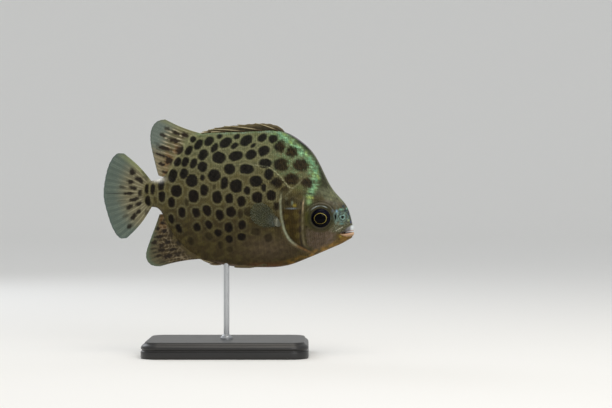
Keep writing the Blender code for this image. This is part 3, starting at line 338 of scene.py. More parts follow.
# Studio, in metres: the floor's sweep, the surround, and lamps by place, aim, size, power and colour
FLOOR_HALF_WIDTH, FLOOR_FRONT, FLOOR_BEND, FLOOR_SWEEP, FLOOR_TOP = 7.0, -5.0, 3.0, 2.2, 5.0
SURROUND_COLOUR, SURROUND_STRENGTH = "e4e6e8", 0.84
LAMPS = (
    ("overhead", (0.1, -0.2, 0.75), (0.0, 0.0, 0.08), 0.5, 2.0, "fff8ec"),
    ("front", (0.4, -0.8, 0.5), (0.0, 0.0, 0.09), 0.5, 2.2, "ffffff"),
    ("behind", (-0.5, 0.6, 0.5), (0.0, 0.0, 0.09), 0.4, 1.2, "f2f7ff"),
)


def linear(colour):
    """A colour written as six hex digits, as linear red, green and blue."""
    parts = np.array([int(colour[i:i + 2], 16) for i in (0, 2, 4)]) / 255.0
    return np.where(parts <= 0.04045, parts / 12.92, ((parts + 0.055) / 1.055) ** 2.4)


def opaque(colour):
    """A colour written as six hex digits, as a shader's colour."""
    return (*linear(colour), 1.0)


def mix(under, over, share):
    """Lays one colour over another by a share from 0 to 1. Each is six hex digits or linear values."""
    under, over = (linear(tint) if isinstance(tint, str) else tint for tint in (under, over))
    return under + (over - under) * np.asarray(share)[..., None]


def coats(colour, *layers):
    """Lays further colours over one in turn, each given with its share from 0 to 1."""
    for tint, share in layers:
        colour = mix(colour, tint, share)
    return colour


def smooth_through(values, at):
    """A natural cubic spline through values at 0, 1, 2 and so on, read at the given places."""
    values = np.asarray(values, float)
    at = np.clip(np.asarray(at, float), 0, len(values) - 1)
    count = len(values)
    system = np.eye(count)
    bend = np.zeros_like(values)
    for i in range(1, count - 1):
        system[i, i - 1:i + 2] = (1.0, 4.0, 1.0)
        bend[i] = 6.0 * (values[i - 1] - 2.0 * values[i] + values[i + 1])
    second = np.linalg.solve(system, bend)
    low = np.minimum(at.astype(int), count - 2)
    part = at - low
    if values.ndim > 1:
        part = part[..., None]
    rest = 1.0 - part
    straight = rest * values[low] + part * values[low + 1]
    return straight + ((rest ** 3 - rest) * second[low] + (part ** 3 - part) * second[low + 1]) / 6.0


def lengths_along(line):
    """The length of a line of many points up to each of them."""
    return np.concatenate([[0.0], np.cumsum(np.linalg.norm(np.diff(line, axis=0), axis=1))])


def evenly_along(line, shares):
    """Points of a line of many points, at shares of its length from 0 to 1."""
    lengths = lengths_along(line)
    return np.stack([np.interp(shares * lengths[-1], lengths, line[:, k]) for k in range(2)], axis=-1)


def along(points, shares):
    """Points of the smooth curve through the given points, at shares of its length from 0 to 1."""
    return evenly_along(smooth_through(points, np.linspace(0, len(points) - 1, CURVE_POINTS)), shares)


def read(table, x):
    """The value at x in a table of places and values."""
    return np.interp(x, *np.transpose(table))


def beside(x, z, points, samples=SEAM_POINTS):
    """How far each place lies from a line, positive on the left of its run, and the share along it."""
    line = along(points, np.linspace(0, 1, samples))
    run = np.gradient(line, axis=0)
    apart = np.full(np.shape(x), np.inf)
    side, share = np.zeros(np.shape(x)), np.zeros(np.shape(x))
    for i, (place, step) in enumerate(zip(line, run)):
        dx, dz = x - place[0], z - place[1]
        far = np.hypot(dx, dz)
        closer = far < apart
        apart = np.where(closer, far, apart)
        side = np.where(closer, np.sign(step[0] * dz - step[1] * dx), side)
        share = np.where(closer, i / (samples - 1), share)
    return apart * side, share


def away(x, z, centre, wide=1.0, tall=1.0):
    """How far each place lies from a centre in the side view, in half widths and half heights."""
    return np.hypot((x - centre[0]) / wide, (z - centre[1]) / tall)


def full_turn(count):
    """Angles evenly spaced round a full turn."""
    return np.linspace(0, 2 * math.pi, count, endpoint=False)


def ramp(values, low, high):
    """A smooth rise from 0 at low to 1 at high."""
    t = np.clip((np.asarray(values, float) - low) / (high - low), 0.0, 1.0)
    return t * t * (3.0 - 2.0 * t)


def fall(values, low, high):
    """A smooth fall from 1 at low to 0 at high."""
    return 1.0 - ramp(values, low, high)


def between(values, start, full, fading, end):
    """A smooth rise from 0 at start to 1 at full, held up to fading, and a fall to 0 at the end."""
    return ramp(values, start, full) * fall(values, fading, end)


def bump(values, centre, width):
    """A bell of height 1 about a centre."""
    return np.exp(-((np.asarray(values, float) - centre) / width) ** 2)


def grain(x, y, z, size, seed):
    """A soft irregular field about from -1 to 1 with features of a given size in millimetres."""
    chance = np.random.default_rng(seed)
    total = np.zeros(np.shape(x))
    for _ in range(GRAIN_WAVES):
        way = chance.normal(size=3)
        way *= chance.uniform(0.6, 1.5) * math.pi / size / np.linalg.norm(way)
        total = total + np.sin(way[0] * x + way[1] * y + way[2] * z + chance.uniform(0, 2 * math.pi))
    return total / GRAIN_HEIGHT


def flecks(place, size, seed, level=0.0, strength=1.0):
    """Soft flecks of a size in millimetres, from 0 between them to 1 on them."""
    return np.clip(level + strength * grain(*place, size, seed), 0.0, 1.0)


def fine_net(place, size, seed, thinness):
    """A net of fine lines with meshes of a size in millimetres, from 0 within a mesh to 1 on a line."""
    return np.clip(1.0 - thinness * np.abs(grain(*place, size, seed)), 0.0, 1.0)


def station(place):
    """Back point, belly point, half width, sharpness and widest level at one place along the body."""
    row = smooth_through(STATIONS, place)
    return row[..., 0:2], row[..., 2:4], np.maximum(row[..., 4], 0.0), row[..., 5], row[..., 6]


def section_share(level, sharpness, widest):
    """The half width at a level from -1 at the belly to 1 at the back, as a share of the greatest."""
    span = np.where(level > widest, 1.0 - widest, 1.0 + widest)
    share = np.clip(np.abs(level - widest) / span, 0.0, 1.0)
    return (1.0 - share ** 2) ** sharpness


def plain_body(places, shares):
    """Points of the plain body: places along it, and shares from the back down one side, from 0 to 1."""
    back, belly, half_width, sharpness, widest = station(places)
    level = (1.0 - EVENNESS) * np.cos(math.pi * shares) + EVENNESS * (1.0 - 2.0 * shares)
    middle, reach = (back + belly) / 2.0, (back - belly) / 2.0
    across = half_width * section_share(level, sharpness, widest)
    x = middle[..., 0] + reach[..., 0] * level
    z = middle[..., 1] + reach[..., 1] * level
    return np.stack([x, -across, z], axis=-1)


def gill_cover_share(x, z):
    """1 on the gill cover and 0 off it, with its rear edge crisp and its front edge soft."""
    from_rear, _ = beside(x, z, GILL_LINE)
    from_cheek, _ = beside(x, z, CHEEK_LINE)
    arch = np.sqrt(np.clip(1.0 - ((x - GILL_ARCH_X) / GILL_ARCH_HALF) ** 2, 0.0, 1.0))
    top = GILL_SHOULDER + GILL_ARCH * arch
    inside = ramp(from_rear, 0.0, 0.35) * ramp(-from_cheek, 0.5, 1.1)
    return inside * ramp(z, GILL_FOOT - 0.4, GILL_FOOT + 0.6) * fall(z, top - 0.5, top)


def mouth_level(x):
    """The height of the line between the lips."""
    return read(MOUTH_LINE, x)


def chin_level(x):
    """The height of the body's lower outline."""
    return read([row[2:4] for row in STATIONS[::-1]], x)


def lip_shares(x, z):
    """How far across the upper and the lower lip a place is, from 0 at the mouth's line to 1 at the far edge.

    The third value is 1 at the mouth and 0 behind its corner.
    """
    level = z - mouth_level(x)
    return level / read(UPPER_LIP, x), -level / read(LOWER_LIP, x), ramp(x, *MOUTH_CORNER)


def with_seam(total, x, z, line, rows):
    """A relief with the ridges and grooves along a line added, all along it where no shares are given."""
    from_line, share = beside(x, z, line)
    for off, wide, height, *shown in rows:
        total = total + height * bump(from_line, off, wide) * (between(share, *shown) if shown else 1.0)
    return total


def relief(x, z):
    """How far the skin stands proud of the plain body, in millimetres."""
    from_eye = away(x, z, EYE)
    total = ORBIT_RIM_HEIGHT * bump(from_eye, ORBIT_RIM_RADIUS, ORBIT_RIM_WIDTH)
    total += 0.2 * bump(from_eye, EYE_SHOWN + 0.3, 0.28)
    total -= EYE_PIT_DEPTH * fall(from_eye, EYE_SHOWN - 0.9, EYE_SHOWN + 0.15)
    on_brow = ramp(z - EYE[1], 1.5, 4.5) * ramp(x, 46.0, 49.0)
    under_eye = ramp(EYE[1] - z, 1.5, 4.0)
    for folds, wide, shown in ((BROW_FOLDS, 0.35, on_brow), (UNDER_EYE_FOLDS, 0.3, under_eye)):
        for radius, depth in folds:
            total -= depth * bump(from_eye, radius, wide) * shown
    total = with_seam(total, x, z, CHEEK_LINE, CHEEK_RELIEF) + GILL_PROUD * gill_cover_share(x, z)
    total = with_seam(total, x, z, GILL_LINE, GILL_RELIEF)
    for nostril, half_sizes, _, _ in NOSTRILS:
        from_pit = away(x, z, nostril, *half_sizes)
        total += 0.22 * bump(from_pit, 1.45, 0.45) - 0.9 * np.exp(-from_pit ** 4)
    upper, lower, at_mouth = lip_shares(x, z)
    for across, table in ((upper, UPPER_LIP), (lower, LOWER_LIP)):
        thick = read(table, x)
        total += LIP_ROLL * at_mouth * np.minimum(thick / 2.2, 1.0) * bump(across, 0.5, 0.4)
        total -= 0.25 * at_mouth * bump((across - 1.0) * thick, 0.3, 0.35)
    total = with_seam(total, x, z, JAW_STREAK, JAW_RELIEF)
    for fold in CHIN_FOLDS:
        total = with_seam(total, x, z, fold, CHIN_RELIEF)
    return with_seam(total, x, z, LATERAL_LINE, LATERAL_RELIEF)


def skin_grid():
    """The skin as points: the snout's tip, and half rings down the right side from snout to tail root."""
    places = np.concatenate([np.linspace(a, b, n, endpoint=False) for a, b, n in RINGS_PER_STRETCH])
    places = np.append(places[1:], TAIL_ROOT)
    shares = np.linspace(0.0, 1.0, POINTS_ROUND // 2 + 1)
    side = plain_body(places[:, None], shares[None, :])
    normal = np.cross(np.gradient(side, axis=1), np.gradient(side, axis=0))
    normal /= np.maximum(np.linalg.norm(normal, axis=-1), 1e-9)[..., None]
    normal *= -np.sign(normal[..., 1].mean())
    off_keel = np.minimum(-side[..., 1] / 1.5, 1.0)
    at_lips = ramp(side[..., 0], 65.5, 68.5)
    stand = relief(side[..., 0], side[..., 2]) * np.maximum(off_keel, at_lips)
    # The relief stands out sideways on the flanks, and square to the skin at the lips
    outward = np.array([0.0, -1.0, 0.0]) * (1.0 - at_lips[..., None]) + normal * at_lips[..., None]
    side = side + outward * stand[..., None]
    side[..., 1] = np.minimum(side[..., 1], 0.0)
    side[:, [0, -1], 1] = 0.0
    tip = np.array([[STATIONS[0][0], 0.0, STATIONS[0][1]]])
    return open_mouth(tip)[0], open_mouth(side)


def open_mouth(points):
    """Draws the skin between the lips back into the mouth, and keeps the lips behind the foremost place."""
    x, z = points[..., 0], points[..., 2]
    from_line = np.abs(z - mouth_level(x)) / read(MOUTH_GAP, x)
    pull = MOUTH_PULL * np.exp(-from_line ** 4) * ramp(x, 63.6, 65.4)
    moved = points + (np.array(MOUTH_DEEP) - points) * pull[..., None]
    ahead = np.maximum(moved[..., 0] - (FOREMOST_X - SNOUT_ROUNDING), 0.0)
    moved[..., 0] += SNOUT_ROUNDING * np.tanh(ahead / SNOUT_ROUNDING) - ahead
    return moved


def spots_of(side):
    """One flank's spots: x, z, half length, half height and depth. The left ones are moved, then spread."""
    rows = np.array([(*spot, 1.0) for spot in SPOTS] + [(*spot, FAINT_DEPTH) for spot in FAINT_SPOTS])
    if side > 0:
        chance = np.random.default_rng(SPOT_SEED)
        rows[:, :2] += chance.normal(size=(len(rows), 2)) * LEFT_SHIFT
        rows[:, 2:4] *= 1.0 + chance.normal(size=(len(rows), 2)) * LEFT_GROW
        size = np.sqrt(rows[:, 2] * rows[:, 3])
        others = 1.0 - np.eye(len(rows))
        for _ in range(LEFT_SPREADS):
            apart = rows[:, None, :2] - rows[None, :, :2]
            far = np.hypot(apart[..., 0], apart[..., 1]) + 1.0 - others
            short = np.clip(size[:, None] + size[None, :] + NET_WIDTH - far, 0.0, None) * others
            rows[:, :2] += LEFT_SPREAD_STEP * (apart / far[..., None] * short[..., None]).sum(axis=1)
    return rows


def spot_lie(x, z, long, tall):
    """How a spot leans, in radians, and its half sizes: those high on the flank are drawn out or drawn up."""
    turn = math.atan2(z - LEAN_CENTRE[1], x - LEAN_CENTRE[0])
    lean = (math.copysign(math.pi, turn) - turn) * LEAN_SHARE * fall(x, -8.0, 6.0)
    forward, high = ramp(x, -7.0, -3.0), ramp(z, 60.0, 66.0)
    tilted = high * forward * fall(x, 24.0, 30.0)
    drawn_out = BACK_STRETCH * (tilted - high * (1.0 - forward))
    return lean * (1.0 - tilted) - BACK_TILT * tilted, long * (1.0 + drawn_out), tall * (1.0 - drawn_out)


def spot_shares(x, z, side):
    """How far each place is within a spot, and on the pale line round one, from 0 to 1."""
    flat = np.zeros(np.shape(x))
    nearest, second, depth, soft = flat + OFF_SPOTS, flat + OFF_SPOTS, flat + 1.0, flat + 1.0
    wobble = SPOT_WOBBLE * grain(x, flat, z, 2.0, 21 + side)
    frayed = SPOT_FRAY * grain(x * 1.7, flat, z * 0.55, 0.8, 31 + side)
    for cx, cz, long, tall, deep in spots_of(side):
        reach = SPOT_REACH * max(long, tall)
        near = np.flatnonzero((np.abs(x - cx) < reach) & (np.abs(z - cz) < reach))
        if not len(near):
            continue
        lean, long, tall = spot_lie(cx, cz, long, tall)
        dx, dz = x[near] - cx, z[near] - cz
        across = np.abs(dx * math.cos(lean) - dz * math.sin(lean)) / long
        up = np.abs(dx * math.sin(lean) + dz * math.cos(lean)) / tall
        far = (across ** SPOT_SQUARENESS + up ** SPOT_SQUARENESS) ** (1.0 / SPOT_SQUARENESS)
        ragged = cx > RAGGED_FROM_X
        beyond = (far - 1.0) * math.sqrt(long * tall) + wobble[near] + (frayed[near] if ragged else 0.0)
        closer = beyond < nearest[near]
        second[near] = np.where(closer, nearest[near], np.minimum(second[near], beyond))
        depth[near] = np.where(closer, deep, depth[near])
        soft[near] = np.where(closer, RAGGED_SOFT if ragged else SPOT_SOFT, soft[near])
        nearest[near] = np.where(closer, beyond, nearest[near])
    inside = depth * fall(nearest / soft, -1.0, 1.0) * ramp(second - nearest, 0.05, 0.75)
    halo = depth * bump(nearest, HALO_OFF, HALO_WIDTH) * np.where(soft > 0.5, 0.6, 1.0)
    return inside, halo * (1.0 - inside)


def markings(points):
    """The fish's colours at places in space, as linear red, green and blue, and its share of painted glints.
    """
    place = points.reshape(-1, 3).T
    x, y, z = place
    off_middle = np.abs(y)
    mottle = grain(*place, 0.8, 5) * 0.5 + grain(*place, 1.9, 6) * 0.5
    # Painted light: the flank is brightened near the soft fins' roots, where the body's rounded edge turns
    # away into shade
    painted_light_by_fins = bump(off_middle, 2.1, 1.0) * fall(x, -20.0, -14.0)
    # The flank's ground runs from dark at the belly to light at the back: partly the fish's own colour,
    # partly painted shade darker towards the belly
    colour = coats(
        "40361f",
        ("433a22", ramp(z, 8.0, 24.0)),
        ("585133", ramp(z, 26.0, 46.0)),
        ("666748", ramp(z, 48.0, 64.0)),
        ("6c7650", ramp(z, 66.0, 75.0) * ramp(x, -30.0, -5.0)),
        ("6c6334", 0.22 * flecks(place, 2.6, 7)),
        ("5f5140", 0.6 * bump(away(x, z, (24.0, 12.0), 2.2), 0.0, 7.0)),
    )
    colour = colour * (1.0 + 0.2 * mottle + 0.35 * painted_light_by_fins)[..., None]
    flanks = zip(spot_shares(x, z, -1), spot_shares(x, z, 1))
    inside, halo = (np.where(y <= 0, right, left) for right, left in flanks)
    from_gill, gill_share = beside(x, z, GILL_LINE)
    on_body = 1.0 - ramp(from_gill, -1.5, 1.0) * fall(z, 41.0, 46.0)
    nape, _ = beside(x, z, NAPE_BAND)
    green = bump(nape, 0.0, np.where(nape > 0.0, 1.7, 2.8)) * ramp(x, 20.0, 30.0)
    green_net = ramp(x, 22.0, 34.0) * ramp(z, 48.0, 58.0) * fall(nape, -1.0, 1.5)
    patchy = flecks(place, 1.7, 8, 0.55, 0.6)
    yellower = flecks(place, 3.0, 15, 0.45, 0.8)
    outer = ramp(nape, 0.9, 2.4) * ramp(x, 28.0, 34.0) * ramp(z + 5.0 * ramp(x, 54.0, 58.0), 36.0, 41.0)
    # The forehead's colour, with painted shade darkening it towards the top
    forehead_with_painted_shade = coats(
        "575243",
        ("5a5d47", ramp(z, 36.0, 41.0)),
        ("2e3021", ramp(z, 42.5, 47.5)),
        ("1b1b13", ramp(z, 49.0, 57.0)),
        ("767a58", 0.5 * ramp(x, 55.0, 58.0) * ramp(z, 36.0, 39.0) * flecks(place, 0.9, 10)),
    )
    spot_colour = mix("140e08", "161410", ramp(z, 36.0, 56.0))
    spot_colour = spot_colour * (1.0 + 0.45 * grain(*place, 1.1, 13))[..., None]
    frayed = linear("2a2111") * (1.0 + 0.5 * grain(x * 1.7, y, z * 0.5, 0.7, 12))[..., None]
    colour = coats(
        colour,
        ("8d8a66", halo * on_body * (0.06 + 0.38 * ramp(z, 14.0, 44.0) + 0.2 * ramp(z, 50.0, 66.0))),
        ("647850", 0.6 * green_net * patchy),
        ("86ab80", 0.6 * green_net * fine_net(place, 1.5, 14, 2.2)),
        (forehead_with_painted_shade * (1.0 + 0.25 * mottle[..., None]), 0.94 * outer),
        ("587050", 0.8 * green),
        (mix("6d9c76", "93b065", yellower), 0.85 * green * patchy),
        ("9ccb9b", 0.8 * green * flecks(place, 1.1, 9, -0.15)),
        (mix(spot_colour, frayed, ramp(x, 25.0, 32.0)), 0.98 * inside * on_body * (1.0 - 0.6 * outer)),
    )
    seams_shown = between(x, 2.0, 24.0, 42.0, 45.0) * (1.0 - 0.45 * inside)
    for line, strength in ((LATERAL_LINE, 0.75), (NECK_SEAM, 0.3)):
        from_line, _ = beside(x, z, line)
        colour = mix(colour, "b9b890", strength * bump(from_line, 0.0, 0.26) * seams_shown)
    back_line = bump(off_middle, 1.5, 0.55) * ramp(z, 74.5, 76.0) * fall(x, 28.0, 34.0)
    colour = coats(
        colour,
        # Painted highlights: pale rims along the profile of the head, near its middle line
        ("70765a", 0.55 * fall(off_middle, 1.2, 3.6) * ramp(x, 44.0, 50.0) * ramp(z, 34.0, 38.0)),
        ("a39ca3", 0.75 * fall(off_middle, 0.7, 1.7) * ramp(x, 30.0, 40.0) * ramp(z, 36.0, 50.0)),
        ("94ad96", 0.65 * back_line * (0.6 + 0.4 * grain(*place, 3.0, 16))),
        ("6d4a2c", 0.7 * fall(z, 1.5, 5.0) * ramp(x, 8.0, 18.0)),
        ("8d7468", 0.5 * fall(off_middle, 0.8, 2.2) * fall(z, 3.0, 6.0) * fall(x, 10.0, 22.0)),
    )
    colour, glitter = head_markings(colour, place, from_gill, gill_share, mottle)
    # Painted glints: more on the green band and on the ground between spots higher up
    glitter = np.clip(glitter + 0.4 * green + 0.3 * (1.0 - inside) * ramp(z, 30.0, 60.0), 0.0, 1.0)
    return colour.reshape(points.shape), glitter.reshape(points.shape[:-1])


def head_markings(colour, place, from_gill, gill_share, mottle):
    """Adds the colours of the head: cheek, gill cover, snout, lips, mouth and the skin round the eye."""
    x, _, z = place
    rough = 1.0 + 0.2 * mottle[..., None]
    on_head = ramp(from_gill, 0.0, 1.2) * fall(z + 6.0 * ramp(x, 53.0, 57.0), 39.0, 44.0)
    cover = gill_cover_share(x, z) * fall(z, 33.0, 34.0)
    from_cheek, cheek_share = beside(x, z, CHEEK_LINE)
    cheek = ramp(from_cheek, 0.8, 3.0) * fall(x, 58.0, 63.0) * fall(z, 20.0, 25.0)
    colour = coats(
        colour,
        (linear("463f27") * rough, 0.9 * on_head),
        (linear("392d10") * rough, 0.92 * cover),
        ("554a22", 0.75 * cover * flecks(place, 2.4, 40)),
        (linear("57493a") * rough, 0.85 * cheek),
        ("63554a", 0.6 * cheek * flecks(place, 1.6, 41)),
    )
    broken = np.maximum(flecks(place, 2.2, 43, 0.75, 0.4), 0.2)
    cheek_ends = between(cheek_share, 0.02, 0.15, 0.8, 0.97)
    # Dark and pale streaks along the cheek's rear edge: distance from it, half width, colour and strength
    for off, wide, tint, strength in ((-1.2, 0.7, "1c1410", 0.85), (0.2, 0.45, "857b60", 0.42),
                                      (0.0, 0.3, "c2a583", 0.75 * bump(z, 35.8, 2.9)),
                                      (1.7, 0.5, "36331a", 0.5), (2.9, 0.35, "605c44", 0.3),
                                      (4.2, 0.45, "3b3820", 0.35), (5.2, 0.35, "5a553e", 0.22)):
        colour = mix(colour, tint, strength * broken * bump(from_cheek, off, wide) * cheek_ends)
    low = fall(z - chin_level(x), 1.4, 4.4) * ramp(x, 26.0, 38.0)
    gill_edge = between(gill_share, 0.42, 0.52, 0.84, 0.95)
    pale_edge = bump(from_gill, -0.05, 0.5) * gill_edge * (0.6 + 0.4 * fall(z, 23.0, 30.0))
    from_snout = away(x, z, SNOUT_MIDDLE, *SNOUT_HALF_SIZES) + 0.16 * grain(*place, 1.6, 54)
    snout = fall(from_snout, 0.55, 1.2)
    under_snout = ramp(x, 56.0, 60.0) * between(z, 20.0, 21.5, 24.5, 28.0)
    upper, lower, at_mouth = lip_shares(x, z)
    colour = coats(
        colour,
        (mix("51421b", "836224", flecks(place, 2.4, 42, 0.4, 0.6)) * rough, 0.85 * low),
        # Painted shade: a dark line just inside the gill cover's pale rear edge
        ("1d170c", 0.7 * bump(from_gill, 1.0, 0.4) * gill_edge),
        (mix("bcc3a4", "8c6b43", ramp(gill_share, 0.74, 0.82)),
         0.95 * pale_edge * (0.85 + 0.2 * grain(*place, 1.5, 44))),
        (linear("434f45") * rough, 0.8 * snout),
        ("1d2934", 0.65 * snout * flecks(place, 1.2, 52, -0.2, 1.2)),
        ("7d9f92", 0.5 * snout * fine_net(place, 1.3, 51, 3.0)),
        ("4a4935", 0.7 * under_snout),
        ("8a886e", 0.62 * under_snout * fine_net(place, 0.9, 53, 2.6)),
        (linear("6c501e") * rough, 0.85 * ramp(x, 60.5, 64.5) * ramp(lower, 0.6, 1.2)),
    )
    for px, pz, wide, tall, tint, strength in HEAD_MARKS_AND_STALK_GLINT:
        colour = mix(colour, tint, strength * np.exp(-away(x, z, (px, pz), wide, tall) ** 2))
    for nostril, _, half_sizes, ring in NOSTRILS:
        from_pit = away(x, z, nostril, *half_sizes)
        uneven = from_pit + 0.7 * grain(*place, 1.4, 55)
        colour = coats(
            colour,
            ("86aba2", ring * bump(uneven, 2.1, 0.5)),
            ("86a59a", 0.28 * ring * bump(uneven, 4.7, 0.5)),
            ("07080a", np.exp(-(from_pit / 1.15) ** 4)),
        )
    from_eye = away(x, z, EYE)
    above, below = ramp(z - EYE[1], 2.0, 5.0), ramp(EYE[1] - z, -1.0, 3.0)
    top = ramp(z - EYE[1] + 0.1 * (EYE[0] - x), 4.5, 6.1)
    # Rings of skin round the eye: radius, half width, colour and strength
    for radius, wide, tint, strength in ((6.4, 1.1, "23230e", 0.8), (7.6, 0.6, "33300f", 0.55 * below),
                                         (7.6, 0.35, "22231b", 0.6 * above),
                                         (8.3, 0.3, "65675a", 0.3 * above),
                                         (9.1, 0.4, "26251b", 0.5 * above),
                                         (6.75, 0.17, "a9b5b2", 0.8 * broken * top)):
        colour = mix(colour, tint, strength * bump(from_eye, radius, wide))
    from_jaw, jaw_share = beside(x, z, JAW_STREAK)
    on_upper = at_mouth * between(upper, 0.02, 0.12, 0.8, 1.1)
    on_lower = at_mouth * between(lower, 0.02, 0.12, 0.75, 1.15)
    gap = np.abs(z - mouth_level(x)) / read(MOUTH_GAP, x)
    colour = coats(
        colour,
        ("090a10", fall(from_eye, 5.1, 5.7)),
        ("b0ae9a", 0.6 * bump(from_jaw, 0.2, 0.24) * between(jaw_share, 0.0, 0.1, 0.9, 1.0)),
        (coats("45413a", ("6f6f72", ramp(x, 66.0, 68.5)), ("d3d9da", ramp(x, 68.6, 70.3))), 0.92 * on_upper),
        ("b07d62", 0.7 * at_mouth * bump(upper, 0.14, 0.1) * ramp(x, 65.5, 68.0)),
        ("ab8b6c", 0.92 * on_lower),
        ("d8b294", 0.8 * at_mouth * bump(lower, 0.3, 0.2) * ramp(x, 64.5, 67.0)),
        ("5f3018", 0.95 * ramp(x, 63.2, 64.6) * np.exp(-(gap / 1.1) ** 4)),
    )
    # The head's share of painted glints, none on the lips
    return colour, (0.12 * on_head + 0.3 * snout) * (1.0 - on_upper) * (1.0 - on_lower)


def store(mesh, name, kind, values):
    """Keeps values for each point of a mesh under a name."""
    made = mesh.attributes.new(name, kind, "POINT")
    key = {"FLOAT_COLOR": "color", "FLOAT": "value", "FLOAT_VECTOR": "vector"}[kind]
    made.data.foreach_set(key, np.asarray(values, np.float32).ravel())


def coloured(mesh, colour, glitter):
    """Stores the markings, with the glitter, the share of painted glints, as their fourth channel."""
    channels = np.concatenate([np.clip(colour, 0, 1), glitter[..., None]], axis=-1)
    store(mesh, "markings", "FLOAT_COLOR", channels)


def in_metres(points):
    """Places in millimetres, as metres above the floor."""
    return (np.asarray(points, float).reshape(-1, 3) + np.array([0.0, 0.0, BELLY_HEIGHT])) * MM


def new_mesh(name, points, faces):
    """A mesh from points in metres."""
    mesh = bpy.data.meshes.new(name)
    mesh.from_pydata(np.asarray(points, float).tolist(), [], faces)
    return mesh


def set_out(name, data):
    """Sets a mesh, lamp or camera out in the scene as an object."""
    made = bpy.data.objects.new(name, data)
    bpy.context.scene.collection.objects.link(made)
    return made


def piece(name, points, faces, material):
    """A closed mesh object from points in millimetres, its faces turned outwards."""
    mesh = new_mesh(name, in_metres(points), faces)
    shape = bmesh.new()
    shape.from_mesh(mesh)
    bmesh.ops.recalc_face_normals(shape, faces=shape.faces)
    shape.to_mesh(mesh)
    shape.free()
    mesh.materials.append(material)
    mesh.shade_smooth()
    return set_out(name, mesh)


def closed_rings(start, rings, end):
    """Points and faces of a closed shape: a pole, rings of points one after another, and a pole."""
    points = np.concatenate([[start], *rings, [end]])
    count = len(rings[0])
    last = 1 + (len(rings) - 1) * count
    faces = [(0, 1 + (j + 1) % count, 1 + j) for j in range(count)]
    for a in range(1, last, count):
        b = a + count
        faces += [(a + j, a + (j + 1) % count, b + (j + 1) % count, b + j) for j in range(count)]
    faces += [(len(points) - 1, last + j, last + (j + 1) % count) for j in range(count)]
    return points, faces


def dress(made, slot, *nodes):
    """Makes a piece part of the object: it rides on the one body and stands for the named nodes."""
    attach(made, "root")
    if nodes:
        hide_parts(*nodes)


def add(tree, kind, settings=None, links=None):
    """A node with its settings, and values or other nodes' outputs on its inputs."""
    made = tree.nodes.new(kind)
    for key, value in (settings or {}).items():
        setattr(made, key, value)
    for key, value in (links or {}).items():
        if isinstance(value, bpy.types.NodeSocket):
            tree.links.new(value, made.inputs[key])
        else:
            made.inputs[key].default_value = value
    return made


def new_material(name):
    """An empty node material and its tree."""
    made = bpy.data.materials.new(name)
    made.use_nodes = True
    made.node_tree.nodes.clear()
    return made, made.node_tree


def close(tree, **sockets):
    """Ends a material's tree in a Principled shader with the given sockets, underscores for spaces."""
    links = {key.replace("_", " "): value for key, value in sockets.items()}
    shader = add(tree, "ShaderNodeBsdfPrincipled", {}, links)
    add(tree, "ShaderNodeOutputMaterial", {}, {"Surface": shader.outputs["BSDF"]})


def per_mm(size):
    """A texture's scale for features of a size in millimetres, on coordinates in metres."""
    return 1.0 / (size * MM)


def unevenness(tree, size, detail=3.0, drawn_out=None):
    """A fine irregular pattern of a size in millimetres on the object's coordinates, even or drawn out."""
    place = add(tree, "ShaderNodeTexCoord").outputs["Object"]
    if drawn_out:
        place = add(tree, "ShaderNodeMapping", {}, {"Vector": place, "Scale": drawn_out}).outputs["Vector"]
    pattern = add(tree, "ShaderNodeTexNoise", {}, {"Vector": place, "Scale": per_mm(size), "Detail": detail})
    return pattern.outputs["Fac"]


def fine_relief(tree, size, strength, depth, detail=3.0, drawn_out=None):
    """Fine relief of a size and depth in millimetres: its height, and the normal it gives the surface."""
    height = unevenness(tree, size, detail, drawn_out)
    raised = add(tree, "ShaderNodeBump", {}, {"Height": height, "Strength": strength, "Distance": depth * MM})
    return height, raised.outputs["Normal"]


def lighter_and_darker(tree, size, strength):
    """How much lighter or darker a colour is from place to place, for grain of a size in millimetres."""
    return add(tree, "ShaderNodeMapRange", {}, {
        "Value": unevenness(tree, size), "From Min": 0.3, "From Max": 0.7, "To Min": 1.0 - strength,
        "To Max": 1.0 + strength}).outputs["Result"]


def painted(tree, grain_mm, strength):
    """The stored markings, broken up by a fine grain, with painted glints: brighter in small cells where the
    skin glitters.
    """
    marks = add(tree, "ShaderNodeAttribute", {"attribute_name": "markings"})
    place = add(tree, "ShaderNodeTexCoord")
    cells = add(tree, "ShaderNodeTexVoronoi", {}, {
        "Vector": place.outputs["Object"], "Scale": per_mm(PAINTED_GLINT_CELL_MM)})
    chance = add(tree, "ShaderNodeSeparateColor", {}, {"Color": cells.outputs["Color"]})
    bright = add(tree, "ShaderNodeMapRange", {}, {
        "Value": chance.outputs["Red"], "From Min": 0.7, "From Max": 0.95, "To Min": 0.0, "To Max": 0.9})
    share = add(tree, "ShaderNodeMath", {"operation": "MULTIPLY_ADD"}, {
        0: bright.outputs["Result"], 1: marks.outputs["Alpha"], 2: 1.0})
    whole = add(tree, "ShaderNodeMath", {"operation": "MULTIPLY"}, {
        0: share.outputs[0], 1: lighter_and_darker(tree, grain_mm, strength)})
    return add(tree, "ShaderNodeVectorMath", {"operation": "SCALE"}, {
        0: marks.outputs["Color"], "Scale": whole.outputs[0]}).outputs["Vector"]


def skin_material():
    """Wet fish skin under its slime coat: soft markings, fine pores and a thin even shine."""
    made, tree = new_material("scat_skin_with_slime_coat")
    pores, normal = fine_relief(tree, 0.3, 0.35, 0.12, 4.0)
    rough = add(tree, "ShaderNodeMapRange", {}, {
        "Value": pores, "From Min": 0.3, "From Max": 0.7, "To Min": 0.38, "To Max": 0.52})
    close(tree, Base_Color=painted(tree, 0.35, 0.16), Roughness=rough.outputs["Result"], Normal=normal,
          Specular_IOR_Level=0.08, Subsurface_Weight=0.03,
          Subsurface_Radius=(1.2 * MM, 0.6 * MM, 0.3 * MM), Coat_Weight=0.1, Coat_Roughness=0.13)
    return made


